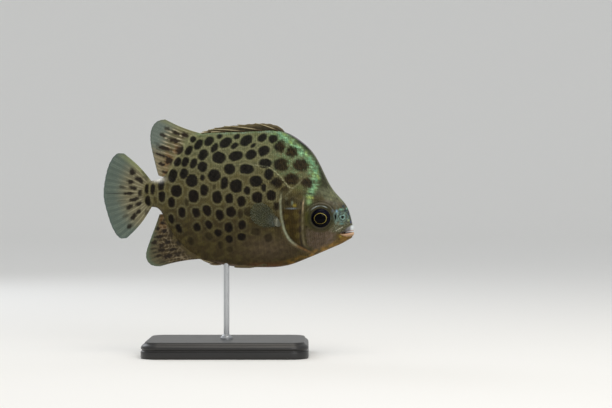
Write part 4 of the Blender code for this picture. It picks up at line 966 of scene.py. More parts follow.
def scale_material():
    """Fish scales, thin bone under clear skin: a fine relief across each and a slight silvery gleam."""
    made, tree = new_material("scat_scales_thin_bone")
    _, normal = fine_relief(tree, 0.12, 0.3, 0.03, 2.0)
    close(tree, Base_Color=painted(tree, 0.3, 0.14), Roughness=0.42, Normal=normal,
          Specular_IOR_Level=0.08, Coat_Weight=0.1, Coat_Roughness=0.13)
    return made


def fin_material():
    """Fin membrane and rays: a thin skin over jointed bone, a little light passing into it."""
    made, tree = new_material("scat_fin_membrane_and_rays")
    _, normal = fine_relief(tree, 0.25, 0.3, 0.05)
    close(tree, Base_Color=painted(tree, 0.4, 0.18), Roughness=0.45, Normal=normal,
          Specular_IOR_Level=0.12, Subsurface_Weight=0.05,
          Subsurface_Radius=(0.8 * MM, 0.7 * MM, 0.5 * MM), Coat_Weight=0.08, Coat_Roughness=0.25)
    return made


def clear_fin_material():
    """Clear fin membrane between thin rays, so that the flank shows through it."""
    made, tree = new_material("scat_clear_fin_membrane")
    marks = add(tree, "ShaderNodeAttribute", {"attribute_name": "markings"})
    _, normal = fine_relief(tree, 0.25, 0.3, 0.05)
    close(tree, Base_Color=marks.outputs["Color"], Roughness=0.4, Normal=normal,
          Specular_IOR_Level=0.15, Alpha=marks.outputs["Alpha"])
    return made


def eye_material():
    """A glass eye painted from behind: black pupil, thin gold ring and dark iris under a clear gloss."""
    made, tree = new_material("glass_eye_painted")
    marks = add(tree, "ShaderNodeAttribute", {"attribute_name": "markings"})
    broken = add(tree, "ShaderNodeVectorMath", {"operation": "SCALE"}, {
        0: marks.outputs["Color"], "Scale": lighter_and_darker(tree, 0.35, 0.3)})
    close(tree, Base_Color=broken.outputs["Vector"], Metallic=marks.outputs["Alpha"], Roughness=0.3,
          Specular_IOR_Level=0.0, Coat_Weight=0.1, Coat_Roughness=0.02)
    return made


def streaked_material(name, size, drawn_out, depth, tones, lows_and_highs, roughness, **sockets):
    """A finish with fine streaks of a size and depth in millimetres in its colour, gloss and relief."""
    made, tree = new_material(name)
    streaks, normal = fine_relief(tree, size, 0.2, depth, drawn_out=drawn_out)
    dark, light = (opaque(tone) for tone in tones)
    colour = add(tree, "ShaderNodeMix", {"data_type": "RGBA"}, {0: streaks, 6: dark, 7: light})
    rough = add(tree, "ShaderNodeMapRange", {}, {
        "Value": streaks, "From Min": lows_and_highs[0], "From Max": lows_and_highs[1],
        "To Min": roughness[0], "To Max": roughness[1]})
    close(tree, Base_Color=colour.outputs[2], Roughness=rough.outputs["Result"], Normal=normal, **sockets)
    return made


def lacquer_material():
    """Black lacquer rubbed on turned wood: a quiet gloss with fine grain lines just showing."""
    return streaked_material("black_lacquered_wood", 0.6, (0.03, 1.0, 1.0), 0.03, ("0f0e0d", "1d1b18"),
                             (0.35, 0.65), (0.34, 0.42), Coat_Weight=0.15, Coat_Roughness=0.15)


def steel_material():
    """Stainless steel rod, brushed along its length: fine streaks that spread each highlight."""
    return streaked_material("brushed_stainless_steel", 0.25, (1.0, 1.0, 0.04), 0.02, ("a9abad", "c9cbcc"),
                             (0.3, 0.7), (0.24, 0.4), Metallic=1.0)


def make_skin(material):
    """One closed skin over the head, jaw, gill covers, trunk and stalk of the tail."""
    tip, side = skin_grid()
    rings = np.concatenate([side, side[:, -2:0:-1] * MIRROR], axis=1)
    points, faces = closed_rings(tip, rings, rings[-1].mean(axis=0))
    skin = piece("skin", points, faces, material)
    coloured(skin.data, *markings(points))
    dress(skin, "skin", "head", "lower_jaw", "gill_cover_right", "gill_cover_left", "torso", "tail_stalk")
    return skin


def scale_roots(side):
    """Where scales grow on one side, in staggered columns from tail to head, and how far each has grown."""
    shares = np.linspace(0.002, 0.998, SCALE_SECTION_POINTS)
    fine_places = np.linspace(SCALES_FROM_PLACE, TAIL_ROOT, SCALE_LENGTH_POINTS)
    middle = plain_body(fine_places, np.full(SCALE_LENGTH_POINTS, 0.5))[:, 0]
    roots = []
    for i in range(int((middle[0] - middle[-1]) / SCALE_PITCH)):
        place = np.interp(-(middle[-1] + SCALES_OFF_TAIL + i * SCALE_PITCH), -middle, fine_places)
        section = plain_body(np.full(SCALE_SECTION_POINTS, place), shares)
        lengths = lengths_along(section)
        half = np.interp(0.5, shares, lengths)
        numbers = np.arange(-int(half / SCALE_ROW), int((lengths[-1] - half) / SCALE_ROW) + 1)
        rows = half + (numbers + 0.5 * (i % 2)) * SCALE_ROW
        rows = rows[(rows > SCALES_OFF_KEEL) & (rows < lengths[-1] - SCALES_OFF_KEEL)]
        roots.append(np.stack([np.interp(rows, lengths, section[:, k]) for k in range(3)], axis=1))
    roots = np.concatenate(roots) * np.array([1.0, -side, 1.0])
    grown = scale_growth(roots)
    kept = grown > LEAST_GROWN
    return roots[kept], grown[kept]


def scale_growth(points):
    """The size of a scale at each place, from 0 to 1: less on the head, none on snout, eye ring or seams."""
    x, z = points[:, 0], points[:, 2]
    grown = 1.0 - 0.22 * ramp(x, 28.0, 48.0)
    border = 57.5 - 0.25 * np.maximum(z - 28.0, 0.0) + 0.3 * np.maximum(z - 42.0, 0.0)
    grown *= fall(x - border, -4.0, 2.0)
    grown *= ramp(away(x, z, EYE), 6.4, 9.0)
    from_cheek, _ = beside(x, z, CHEEK_LINE)
    grown *= np.maximum(ramp(np.abs(from_cheek + 0.7), 0.9, 2.2), ramp(z, 38.0, 42.0))
    from_gill, share = beside(x, z, GILL_LINE)
    grown *= 1.0 - between(share, 0.42, 0.52, 0.9, 1.0) * fall(np.abs(from_gill + 0.2), 0.8, 1.6)
    return grown * (1.0 - ramp(x, 44.0, 52.0) * fall(z, 10.0, 14.0))


def scale_plate():
    """One scale, closed and thin: a rounded free edge at the rear, a crown and a pole under the skin."""
    count = len(SCALE_EDGE)
    points = [(x * SCALE_LONG, y * SCALE_WIDE, 0.0) for x, y in SCALE_EDGE]
    points += [(-0.1 * SCALE_LONG, 0.0, SCALE_CROWN), (0.0, 0.0, -SCALE_CROWN)]
    faces = [(i, (i + 1) % count, count) for i in range(count)]
    faces += [((i + 1) % count, i, count + 1) for i in range(count)]
    return set_out("scale_plate", new_mesh("scale_plate", np.array(points) * MM, faces)), len(points)


def scale_tree(material):
    """Geometry Nodes that set a scale on every root, turned to the lie stored there."""
    tree = bpy.data.node_groups.new("scales_on_roots", "GeometryNodeTree")
    face = tree.interface
    face.new_socket("Geometry", in_out="INPUT", socket_type="NodeSocketGeometry")
    inputs = (("Scale", "Object"), ("Least Size", "Float"), ("Greatest Size", "Float"), ("Seed", "Int"))
    sockets = {name: face.new_socket(name, in_out="INPUT", socket_type=f"NodeSocket{kind}")
               for name, kind in inputs}
    face.new_socket("Geometry", in_out="OUTPUT", socket_type="NodeSocketGeometry")
    given = add(tree, "NodeGroupInput")
    size = add(tree, "FunctionNodeRandomValue", {"data_type": "FLOAT"}, {
        2: given.outputs["Least Size"], 3: given.outputs["Greatest Size"], "Seed": given.outputs["Seed"]})
    grown, lie, out = (
        add(tree, "GeometryNodeInputNamedAttribute", {"data_type": kind}, {"Name": name}).outputs["Attribute"]
        for name, kind in (("grown", "FLOAT"), ("lie", "FLOAT_VECTOR"), ("out", "FLOAT_VECTOR")))
    whole = add(tree, "ShaderNodeMath", {"operation": "MULTIPLY"}, {0: size.outputs[1], 1: grown})
    turn = add(tree, "FunctionNodeAxesToRotation", {"primary_axis": "Z", "secondary_axis": "X"}, {
        "Primary Axis": out, "Secondary Axis": lie})
    shape = add(tree, "GeometryNodeObjectInfo", {}, {"Object": given.outputs["Scale"]})
    dots = add(tree, "GeometryNodeMeshToPoints", {}, {"Mesh": given.outputs["Geometry"]})
    placed = add(tree, "GeometryNodeInstanceOnPoints", {}, {
        "Points": dots.outputs["Points"], "Instance": shape.outputs["Geometry"],
        "Rotation": turn.outputs["Rotation"], "Scale": whole.outputs[0]})
    real = add(tree, "GeometryNodeRealizeInstances", {}, {"Geometry": placed.outputs["Instances"]})
    finished = add(tree, "GeometryNodeSetMaterial", {}, {
        "Geometry": real.outputs["Geometry"], "Material": material})
    add(tree, "NodeGroupOutput", {}, {"Geometry": finished.outputs["Geometry"]})
    return tree, sockets


def make_scales(name, side, skin, plate, points_each, tree, sockets):
    """The scales of one flank, as one mesh with the skin's own markings."""
    roots, grown = scale_roots(side)
    surface = BVHTree.FromPolygons([v.co for v in skin.data.vertices],
                                   [p.vertices for p in skin.data.polygons])
    found = [surface.find_nearest(Vector(root))[:2] for root in in_metres(roots)]
    places, outs = (np.array(column) for column in zip(*found))
    rearward = np.zeros_like(outs) + np.array([-1.0, 0.0, 0.0])
    lies = rearward - outs * (rearward * outs).sum(axis=1)[:, None]
    lies /= np.linalg.norm(lies, axis=1)[:, None]
    lift = math.radians(SCALE_LIFT_DEG)
    mesh = new_mesh(name, places, [])
    store(mesh, "lie", "FLOAT_VECTOR", lies * math.cos(lift) + outs * math.sin(lift))
    store(mesh, "out", "FLOAT_VECTOR", outs * math.cos(lift) - lies * math.sin(lift))
    store(mesh, "grown", "FLOAT", grown)
    made = set_out(name, mesh)
    step = made.modifiers.new("scales", "NODES")
    step.node_group = tree
    least, greatest = SCALE_SIZES
    values = {"Scale": plate, "Least Size": least, "Greatest Size": greatest, "Seed": SCALE_SEED + side}
    for key, value in values.items():
        step[sockets[key].identifier] = value
    graph = bpy.context.evaluated_depsgraph_get()
    result = bpy.data.meshes.new_from_object(made.evaluated_get(graph))
    made.modifiers.clear()
    made.data = result
    finish_scales(result, len(places), points_each, side)
    dress(made, "skin")


def finish_scales(mesh, count, points_each, side):
    """Gives realised scales the skin's markings and a map in which each is a small patch at its root."""
    flat = np.empty(len(mesh.vertices) * 3, np.float32)
    mesh.vertices.foreach_get("co", flat)
    points = flat.reshape(-1, 3).astype(float) / MM - np.array([0.0, 0.0, BELLY_HEIGHT])
    points[:, 1] = np.where(points[:, 1] * side > 0, points[:, 1], side * 0.01)
    colour, glitter = markings(points)
    colour = colour.reshape(count, points_each, 3)
    # Painted shade on the points under the scale before, and a painted highlight on the crown
    colour[:, SCALE_FRONT_EDGE] *= SCALE_FRONT_PAINTED_SHADE
    colour[:, SCALE_CROWN_POINT] *= SCALE_CROWN_PAINTED_HIGHLIGHT
    coloured(mesh, colour.reshape(-1, 3), glitter)
    shape = points.reshape(count, points_each, 3)
    root = shape.mean(axis=1)
    place = np.stack([(root[:, 0] + UV_LONG / 2) / UV_LONG, root[:, 2] / UV_TALL + UV_MARGIN], axis=1)
    spread = (shape - root[:, None])[..., [0, 2]]
    spots = (place[:, None] + spread / SCALE_LONG * UV_PATCH).reshape(-1, 2)
    corner = np.empty(len(mesh.loops), np.int32)
    mesh.loops.foreach_get("vertex_index", corner)
    layer = mesh.uv_layers.new(name="OFBake")
    layer.data.foreach_set("uv", spots[corner].astype(np.float32).ravel())
    for old in ("lie", "out", "grown"):
        if old in mesh.attributes:
            mesh.attributes.remove(mesh.attributes[old])
    mesh.shade_smooth()


def half_width_at(x, z):
    """The plain body's half width at a place in the side view, with the orbit's rim."""
    places = np.linspace(0.05, TAIL_ROOT, WIDTH_POINTS_ALONG)
    shares = np.linspace(0.01, 0.99, WIDTH_POINTS_ROUND)
    side = plain_body(places[:, None], shares[None, :]).reshape(-1, 3)
    nearest = np.argmin(away(side[:, 0], side[:, 2], (x, z)))
    rim = ORBIT_RIM_HEIGHT * bump(away(x, z, EYE), ORBIT_RIM_RADIUS, ORBIT_RIM_WIDTH)
    return float(-side[nearest, 1] + rim)


def make_eyes(material):
    """Both eyes: a flattened ball whose front carries the pupil, gold ring and iris."""
    thick = EYE_RADIUS * EYE_FLATNESS
    deep = half_width_at(*EYE) + EYE_PROUD - thick
    turn = full_turn(EYE_POINTS_ROUND)
    lean = np.linspace(0, math.pi, EYE_RINGS + 2)[1:-1, None]
    far = np.sin(lean) * EYE_RADIUS
    out = np.cos(lean) * thick * np.ones(EYE_POINTS_ROUND)
    for side, name in ((-1, "right"), (1, "left")):
        rings = np.stack([EYE[0] + far * np.cos(turn), side * (deep + out), EYE[1] + far * np.sin(turn)],
                         axis=-1)
        points, faces = closed_rings((EYE[0], side * (deep + thick), EYE[1]), rings,
                                     (EYE[0], side * (deep - thick), EYE[1]))
        ball = piece(f"eyeball_{name}", points, faces, material)
        coloured(ball.data, *eye_markings(points))
        dress(ball, "eye", f"eye_{name}")


def eye_markings(points):
    """The eye's colours and how metallic it is: black pupil, thin gold ring and navy iris."""
    x, z = points[:, 0] - EYE[0] - GOLD_RING_OFF[0], points[:, 2] - EYE[1] - GOLD_RING_OFF[1]
    turn = np.arctan2(z, x)
    from_ring = np.hypot(x / GOLD_RING[0], z / GOLD_RING[1]) + 0.018 * np.cos(5.0 * turn + 1.0)
    gold = bump(from_ring, 1.0, GOLD_RING_WIDTH)
    colour = coats(
        "020203",
        ("0a0b18", ramp(from_ring, 1.1, 1.35) * (0.5 + 0.5 * np.sin(turn + 0.4))),
        (mix("756529", "cfbd62", 0.5 + 0.5 * np.cos(turn - 0.9)), gold),
    )
    return colour, 0.2 * gold


def blotches(near, table, seed):
    """How dark a fin is at each of its points, for blotches drawn out along the rays they lie on."""
    x, _, z = side_view(near)
    wobble = grain(*side_view(near), 1.1, seed) * 0.16
    total = np.zeros(x.shape)
    for cx, cz, long, wide, deep in table:
        row, column = np.unravel_index(np.argmin(away(x, z, (cx, cz))), x.shape)
        run = near[min(row + 2, len(x) - 1), column] - near[max(row - 2, 0), column]
        run = run[[0, 2]] / np.hypot(run[0], run[2])
        dx, dz = x - cx, z - cz
        far = np.hypot((dx * run[0] + dz * run[1]) / long, (dx * run[1] - dz * run[0]) / wide) + wobble
        total = np.maximum(total, deep * fall(far, 0.5, 1.35))
    return total


def side_view(points):
    """Places in the fin's own plane: x, nothing across and z."""
    return points[..., 0], 0.0 * points[..., 0], points[..., 2]


def blended(near, u, colour, reach):
    """A fin's colours, running into the body's own at its base."""
    body, _ = markings(near)
    return mix(body, colour, ramp(u, 0.02, reach))


def fin_faces(rows, columns):
    """Faces of a closed plate from its two sides of rows by columns points each."""
    other = rows * columns
    faces = []
    for i in range(rows - 1):
        for j in range(columns - 1):
            a, b = i * columns + j, i * columns + j + 1
            c, d = a + columns, b + columns
            faces += [(a, b, d, c), (other + a, other + c, other + d, other + b)]
    rim = list(range(columns))
    rim += [i * columns + columns - 1 for i in range(1, rows)]
    rim += [(rows - 1) * columns + j for j in range(columns - 2, -1, -1)]
    rim += [i * columns for i in range(rows - 2, 0, -1)]
    faces += [(a, other + a, other + b, b) for a, b in zip(rim, rim[1:] + rim[:1])]
    return faces


def ray_share(at, u):
    """How much of a place on a fin is ray: each ray forks twice on its way out."""
    off = np.abs(at - np.round(at))
    first, second = FIRST_FORK * ramp(u, 0.35, 0.75), SECOND_FORK * ramp(u, 0.62, 1.0)
    wide = RAY_HALF_WIDTH - 0.045 * ramp(u, 0.3, 0.5) - 0.03 * ramp(u, 0.65, 0.85)
    return np.maximum(bump(off, first - second, wide), bump(off, first + second, wide))


def fin_shape(roots, tips, half_root, sway=0.0, bulge=0.0, rows=FIN_ROWS, half_membrane=MEMBRANE_THICK / 2,
              half_ray=RAY_THICK / 2, jointed=RAY_JOINT_DEPTH):
    """Both sides of a fin's plate with its forking rays, and for each point its ray share and place.

    The place is the share of the way out, and the number of the ray. The bulge bows each ray in the fin's
    plane by a share of its length, and the sway bends the fin's outer part across it.
    """
    rays = len(roots)
    at = np.linspace(0, rays - 1, (rays - 1) * COLUMNS_PER_RAY + 1)
    u = np.linspace(ROOT_SUNK, 1.0, rows)[:, None] * np.ones(len(at))
    out = np.clip(u, 0.0, 1.0)
    low = np.minimum(at.astype(int), rays - 2)
    part = (at - low)[:, None]
    root = roots[low] * (1 - part) + roots[low + 1] * part
    run = smooth_through(tips, at) - root
    share = ray_share(at[None, :], u)
    ragged = 0.006 * (share - 1.0) * ramp(u, 0.9, 1.0)
    side_way = np.stack([-run[:, 1], run[:, 0]], axis=1)
    flat = root + run * (u + ragged)[..., None] + side_way * (bulge * np.sin(math.pi * out))[..., None]
    joints = np.cos(u * np.linalg.norm(run, axis=1) * 2 * math.pi / RAY_JOINT)
    joints = 1.0 + jointed * joints * ramp(out, 0.2, 0.4)
    thick = half_membrane + (half_ray * joints * (1.0 - 0.55 * out) - half_membrane) * share
    thick = np.maximum(thick, half_root * np.clip(1.0 - out / ROOT_SHARE, 0, 1))
    thick = thick * (1.0 - 0.45 * ramp(out, 0.97, 1.0))
    middle = sway * np.sin(2.0 * math.pi * SWAY_WAVES * at / rays)[None, :] * out ** 2
    near, far = (np.stack([flat[..., 0], middle + side * thick, flat[..., 1]], axis=-1) for side in (-1, 1))
    return near, far, share, out, at[None, :] + 0 * out


def soft_fin(sizes, roots):
    """A soft fin's two sides, ray shares and places, from its margin and the roots of its rays."""
    tips = along(sizes["margin"], np.linspace(0, 1, sizes["rays"]))
    bulge = np.linspace(*sizes["bulge"], (sizes["rays"] - 1) * COLUMNS_PER_RAY + 1)
    near, far, ray, u, at = fin_shape(roots, tips, ROOT_THICK / 2, sizes["sway"], bulge)
    for plate in (near, far):
        plate[..., 0] = np.maximum(plate[..., 0], REARMOST_X)
    return near, far, ray, u, at


def make_fin(name, near, far, material, colours, last_channel, node):
    """A fin's closed plate with its colours, and the same or each point's own value as the fourth channel."""
    rows, columns = near.shape[:2]
    points = np.concatenate([near.reshape(-1, 3), far.reshape(-1, 3)])
    made = piece(name, points, fin_faces(rows, columns), material)
    doubled = np.concatenate([colours.reshape(-1, 3)] * 2)
    fourth = np.broadcast_to(last_channel, near.shape[:2]).reshape(-1)
    coloured(made.data, doubled, np.concatenate([fourth] * 2))
    dress(made, "fin", node)


def edge_roots(edge, rays):
    """Evenly spaced roots for a soft fin's rays along the back, edge 0, or the belly, edge 1."""
    line = station(np.linspace(SOFT_FIN_FRONT, SOFT_FIN_REAR, 60))[edge]
    return evenly_along(line, np.linspace(0, 1, rays))


def make_soft_dorsal(material):
    """The soft dorsal fin: grey-green outside, brown blotches and cream rays near its base."""
    near, far, ray, u, at = soft_fin(SOFT_DORSAL, edge_roots(0, SOFT_DORSAL["rays"]))
    patchy = flecks(side_view(near), 2.0, 64, 0.5, 0.6)
    rear = ramp(at, 7.0, 11.0)
    colour = coats(
        "5b563c",
        ("5f685f", ramp(u, 0.4, 0.8)),
        ("b9af92", 0.9 * ray * fall(u, 0.5, 0.85) * (0.35 + 0.65 * patchy)),
        ("6f786e", 0.4 * ray * ramp(u, 0.5, 0.8)),
        ("716446", 0.75 * rear * (1.0 - 0.5 * ramp(u, 0.85, 1.0))),
        ("96876a", 0.5 * ray * rear),
        ("7f7f58", 0.55 * fall(at, 0.5, 2.5)),
        ("7c5028", 0.65 * patchy * fall(u, 0.25, 0.55) * ramp(at, 4.0, 8.0)),
        ("505a52", 0.5 * ramp(u, 0.93, 1.0)),
    )
    colour = mix(blended(near, u, colour, 0.25), "1d140a", 0.97 * blotches(near, DORSAL_BLOTCHES, 61))
    make_fin("dorsal_fin_rays", near, far, material, colour, FIN_PAINTED_GLINTS, "dorsal_fin_soft")


def make_soft_anal(material):
    """The soft anal fin: brown with a cream net and dark blotches, and a pale margin."""
    near, far, ray, u, at = soft_fin(SOFT_ANAL, edge_roots(1, SOFT_ANAL["rays"]))
    patchy = flecks(side_view(near), 1.5, 65, 0.5, 0.7)
    colour = coats(
        "372d1a",
        ("4c4c38", ramp(u, 0.55, 0.95)),
        ("76694c", 0.6 * ray * (0.35 + 0.65 * patchy) * (1.0 - 0.4 * ramp(u, 0.6, 0.9))),
        ("8d7f66", 0.6 * fine_net(side_view(near), 1.6, 66, 2.4) * fall(u, 0.45, 0.85)),
        ("6e4c26", 0.4 * patchy * ramp(at, 8.0, 12.0)),
        ("566250", 0.8 * ramp(u, 0.87, 0.97) * fall(at, 9.0, 13.0)),
    )
    colour = mix(blended(near, u, colour, 0.2), "1a1208", 0.95 * blotches(near, ANAL_BLOTCHES, 62))
    make_fin("anal_fin_rays", near, far, material, colour, FIN_PAINTED_GLINTS, "anal_fin_soft")


def make_tail_fin(material):
    """The tail fin: grey-teal fan with cream rays and dark blotches in its inner half."""
    roots = along(TAIL_FIN["root"], np.linspace(0, 1, TAIL_FIN["rays"]))
    near, far, ray, u, at = soft_fin(TAIL_FIN, roots)
    patchy = flecks(side_view(near), 2.4, 67, 0.5, 0.6)
    colour = coats(
        "6a644c",
        ("515b52", ramp(u, 0.35, 0.8)),
        ("938d70", 0.8 * ray * fall(u, 0.35, 0.8)),
        ("6c7769", 0.6 * ray * ramp(u, 0.4, 0.75) * (0.4 + 0.6 * patchy)),
        ("858a5c", 0.7 * fall(at, 0.3, 1.8) * (1.0 - 0.5 * ramp(u, 0.6, 1.0))),
        ("150e05", 0.96 * blotches(near, TAIL_BLOTCHES, 63)),
        ("525f5a", 0.6 * ramp(u, 0.9, 1.0)),
    )
    colour = blended(near, u, colour, 0.16)
    make_fin("tail_fin_rays", near, far, material, colour, TAIL_PAINTED_GLINTS, "tail_fin")


def fan(sizes):
    """Roots and tips of a paired fin's rays in its own plane: the root upright at zero, the rays run back."""
    rays = sizes["rays"]
    share = np.linspace(0.5, -0.5, rays)
    roots = np.stack([np.zeros(rays), share * sizes["root_height"]], axis=1)
    angle = np.radians(sizes["rise_deg"] + share * sizes["spread_deg"])
    length = sizes["length"] * (1.0 - OUTER_RAYS_SHORTER * np.abs(share * 2) ** sizes["taper"])
    tips = roots + np.stack([-np.cos(angle), np.sin(angle)], axis=1) * length[:, None]
    return roots, tips


def make_paired_fins(material, clear_material):
    """The pectoral fins laid back along the flank, nearly clear, and the pelvic fins against the keel."""
    off_flank = half_width_at(*PECTORAL["root"]) + PECTORAL["off_body"]
    splay, lean = math.radians(PECTORAL["splay_deg"]), math.radians(PELVIC["lean_deg"])
    kinds = (
        ("pectoral_fin", PECTORAL, off_flank, (0.0, 0.0, splay), "373b2a", "555a48"),
        ("pelvic_fin", PELVIC, PELVIC["off_keel"], (lean, 0.0, 0.0), "4b412a", "7d6f54"),
    )
    for name, sizes, across, turn, web, bone in kinds:
        near, far, ray, u, _ = fin_shape(
            *fan(sizes), sizes["root_thick"] / 2, rows=PAIRED_FIN_ROWS,
            half_membrane=PAIRED_HALF_MEMBRANE, half_ray=PAIRED_HALF_RAY, jointed=0.0)
        colour, solid, look = mix(web, bone, 0.8 * ray), FIN_PAINTED_GLINTS, material
        if name == "pectoral_fin":
            colour = coats(
                colour,
                ("56605a", 0.75 * fall(u, 0.12, 0.5)),
                # Painted glint: a pale patch at the fin's root
                ("b5b29c", (0.3 + 0.6 * ray) * bump(u, 0.08, 0.05)),
            )
            solid = CLEAR_WEB + (CLEAR_RAY - CLEAR_WEB) * ray
            solid = solid + (1.0 - solid) * fall(u, 0.02, 0.12)
            look = clear_material
        colour = mix(colour, "3d3520", 0.6 * fall(u, 0.0, 0.1))
        matrix = np.array(Euler(turn).to_matrix())
        origin = np.array((sizes["root"][0], -across, sizes["root"][1]))
        near, far = (plate @ matrix.T + origin for plate in (near, far))
        make_fin(f"{name}_rays_right", near, far, look, colour, solid, f"{name}_right")
        make_fin(f"{name}_rays_left", near * MIRROR, far * MIRROR, look, colour, solid, f"{name}_left")


def fold_rise(share, height):
    """How high a folded fin stands at a share of its length from front to rear."""
    crown = max(math.sin(math.pi * min(share, 1.0) ** FOLD_CROWN_POWER), 0.0)
    return height * max(FOLD_LEAST, crown ** FOLD_CROWN_ROUND)


def tube(path, radii, sides):
    """Points and faces of a closed tapered tube along a path in space."""
    run = np.gradient(path, axis=0)
    run /= np.linalg.norm(run, axis=1)[:, None]
    across = np.array([0.0, 1.0, 0.0])
    turn = full_turn(sides)
    rings = [middle + wide * (np.cos(turn)[:, None] * across + np.sin(turn)[:, None] * high)
             for middle, wide, high in zip(path, radii, np.cross(run, across))]
    return closed_rings(path[0], rings, path[-1] + run[-1] * radii[-1])


def spine(foot, run, across, up, bow=0.0, taper=1.0, rings=SPINE_RINGS):
    """Points, faces and colours of one tapered spine, from its foot along a run in the side view."""
    steps = np.linspace(0, 1, rings)
    rise = foot[1] + run[1] * steps + bow * up * np.sin(math.pi * steps)
    path = np.stack([foot[0] + run[0] * steps, np.full(rings, across), rise], axis=1)
    radii = SPINE_RADIUS + (SPINE_TIP_RADIUS - SPINE_RADIUS) * steps ** taper
    return *tube(path, radii, SPINE_SIDES), spine_colours(rings, SPINE_SIDES, up)


def make_spiny_fin(name, which, node, material):
    """A folded spiny fin: tapered spines lying back one over another, on a creased fold of membrane."""
    table, height, up, foot_colour, crown_colour = SPINY_FINS[which]
    edge = 0 if which == "back" else 1
    first, last = table[0][0], table[-1][0] + FOLD_PAST_LAST
    turn = full_turn(FOLD_SIDES)
    level = (1.0 - np.cos(turn)) / 2.0
    rings = []
    for share in np.linspace(0, 1, FOLD_RINGS):
        point = station(first + (last - first) * share)[edge]
        crease = share * 2 * math.pi * CREASES_PER_SPINE * len(table)
        rise = fold_rise(share, height) * (1.0 + 0.03 * math.cos(crease))
        wide = FOLD_HALF_WIDTH * (1.0 + 0.1 * math.cos(crease + 1.2))
        across = wide * np.sin(turn) * (1.0 - 0.45 * level)
        lift = -FOLD_FOOT + (rise + FOLD_FOOT) * level
        rings.append(np.stack([np.full(FOLD_SIDES, point[0]), across, point[1] + up * lift], axis=1))
    points, faces = closed_rings(rings[0].mean(axis=0), rings, rings[-1].mean(axis=0))
    tint = np.concatenate([[0.0], np.tile(level, FOLD_RINGS), [0.0]])
    colour = mix(foot_colour, crown_colour, ramp(tint, 0.5, 1.0))
    edge_line = station(np.linspace(first, last + 2.0, 200))[edge]
    front, rear = edge_line[0, 0], station(last)[edge][0]
    for i, (place, length) in enumerate(table):
        foot = station(place)[edge] - np.array([0.0, up * SPINE_SUNK])
        nearest = edge_line[np.argmin(np.abs(foot[0] - length - edge_line[:, 0]))]
        tip_rise = up * (fold_rise((front - nearest[0]) / (front - rear), height) + SPINE_TIP_CLEAR)
        run = nearest + np.array([0.0, tip_rise]) - foot
        run = run / np.linalg.norm(run) * length
        points, faces, colour = joined(points, faces, colour, *spine(
            foot, run, SPINE_OFF_MIDDLE * (-1) ** i, up, SPINE_BOW, 1.2))
    if which == "back":
        foot = station(first)[edge] - FORWARD_SPINE_SUNK
        points, faces, colour = joined(points, faces, colour, *spine(
            foot, FORWARD_SPINE, 0.0, up, rings=FORWARD_SPINE_RINGS))
    made = piece(name, points, faces, material)
    coloured(made.data, colour, np.full(len(points), FIN_PAINTED_GLINTS))
    dress(made, "skin", node)


def spine_colours(rings, sides, up):
    """A spine's colours: brown skin at its foot, bare pale bone at its point, a cream line on its crest."""
    share = np.concatenate([[0.0], np.repeat(np.linspace(0, 1, rings), sides), [1.0]])
    crest = -up * np.tile(np.sin(full_turn(sides)), rings)
    crest = np.concatenate([[0.0], crest, [0.0]])
    return coats(
        "3d3019",
        ("6e6240", ramp(share, 0.1, 0.5)),
        ("211b0e", 0.85 * fall(crest, -0.3, 0.35)),
        ("c0b48f", 0.8 * ramp(crest, 0.15, 0.7) * ramp(share, 0.1, 0.35)),
        ("a79f7c", ramp(share, 0.8, 1.0)),
    )


def joined(points, faces, colour, more_points, more_faces, more_colour):
    """Adds one closed shape's points, faces and colours to another's."""
    start = len(points)
    faces = faces + [tuple(start + i for i in face) for face in more_faces]
    return np.concatenate([points, more_points]), faces, np.concatenate([colour, more_colour])


def rounded_outline(inset):
    """The base's outline in plan, drawn in by an amount."""
    length, depth, _ = BASE_SIZE
    radius = BASE_CORNER_RADIUS - inset
    outline = []
    for cx, cy, start in ((1, 1, 0), (-1, 1, 90), (-1, -1, 180), (1, -1, 270)):
        for step in range(BASE_CORNER_STEPS + 1):
            angle = math.radians(start + 90 * step / BASE_CORNER_STEPS)
            outline.append((cx * (length / 2 - BASE_CORNER_RADIUS) + radius * math.cos(angle),
                            cy * (depth / 2 - BASE_CORNER_RADIUS) + radius * math.sin(angle)))
    return outline


def make_stand_piece(name, node, start, rings, end, material):
    """A turned or moulded piece of the stand, its corners kept crisp."""
    made = piece(name, *closed_rings(start, rings, end), material)
    made.data.set_sharp_from_angle(angle=math.radians(CRISP_FROM_DEG))
    dress(made, node, node)


def make_base(material):
    """The base: a moulded edge with a bead below a hollow, round a flat top."""
    floor = -BELLY_HEIGHT
    rings = [np.array([(x, y, floor + height) for x, y in rounded_outline(inset)])
             for inset, height in BASE_PROFILE]
    rings += [rings[-1] * (*shrunk, 1.0) for shrunk in BASE_TOP_RINGS]
    make_stand_piece("stand_base_moulded", "stand_base", (0.0, 0.0, floor), rings,
                     (0.0, 0.0, floor + BASE_SIZE[2]), material)


def make_rod(material):
    """The rod: turned steel on a small flange, up to the belly's keel."""
    foot = -BELLY_HEIGHT + BASE_SIZE[2] + ROD_OFF_BASE
    above_rod = np.interp(0.0, [row[2] for row in STATIONS[::-1]], np.arange(len(STATIONS))[::-1])
    top = station(above_rod)[1][1] + ROD_IN_BELLY
    profile = [(ROD_RADIUS * wide, foot + rise) for wide, rise in ROD_PROFILE]
    profile += [(ROD_RADIUS, height) for height in np.linspace(foot + ROD_PLAIN_FROM, top, ROD_RINGS)]
    turn = full_turn(ROD_SIDES)
    rings = [np.column_stack([wide * np.cos(turn), wide * np.sin(turn), np.full(ROD_SIDES, z)])
             for wide, z in profile]
    make_stand_piece("stand_rod_turned", "stand_rod", (0.0, 0.0, foot), rings, (0.0, 0.0, top), material)


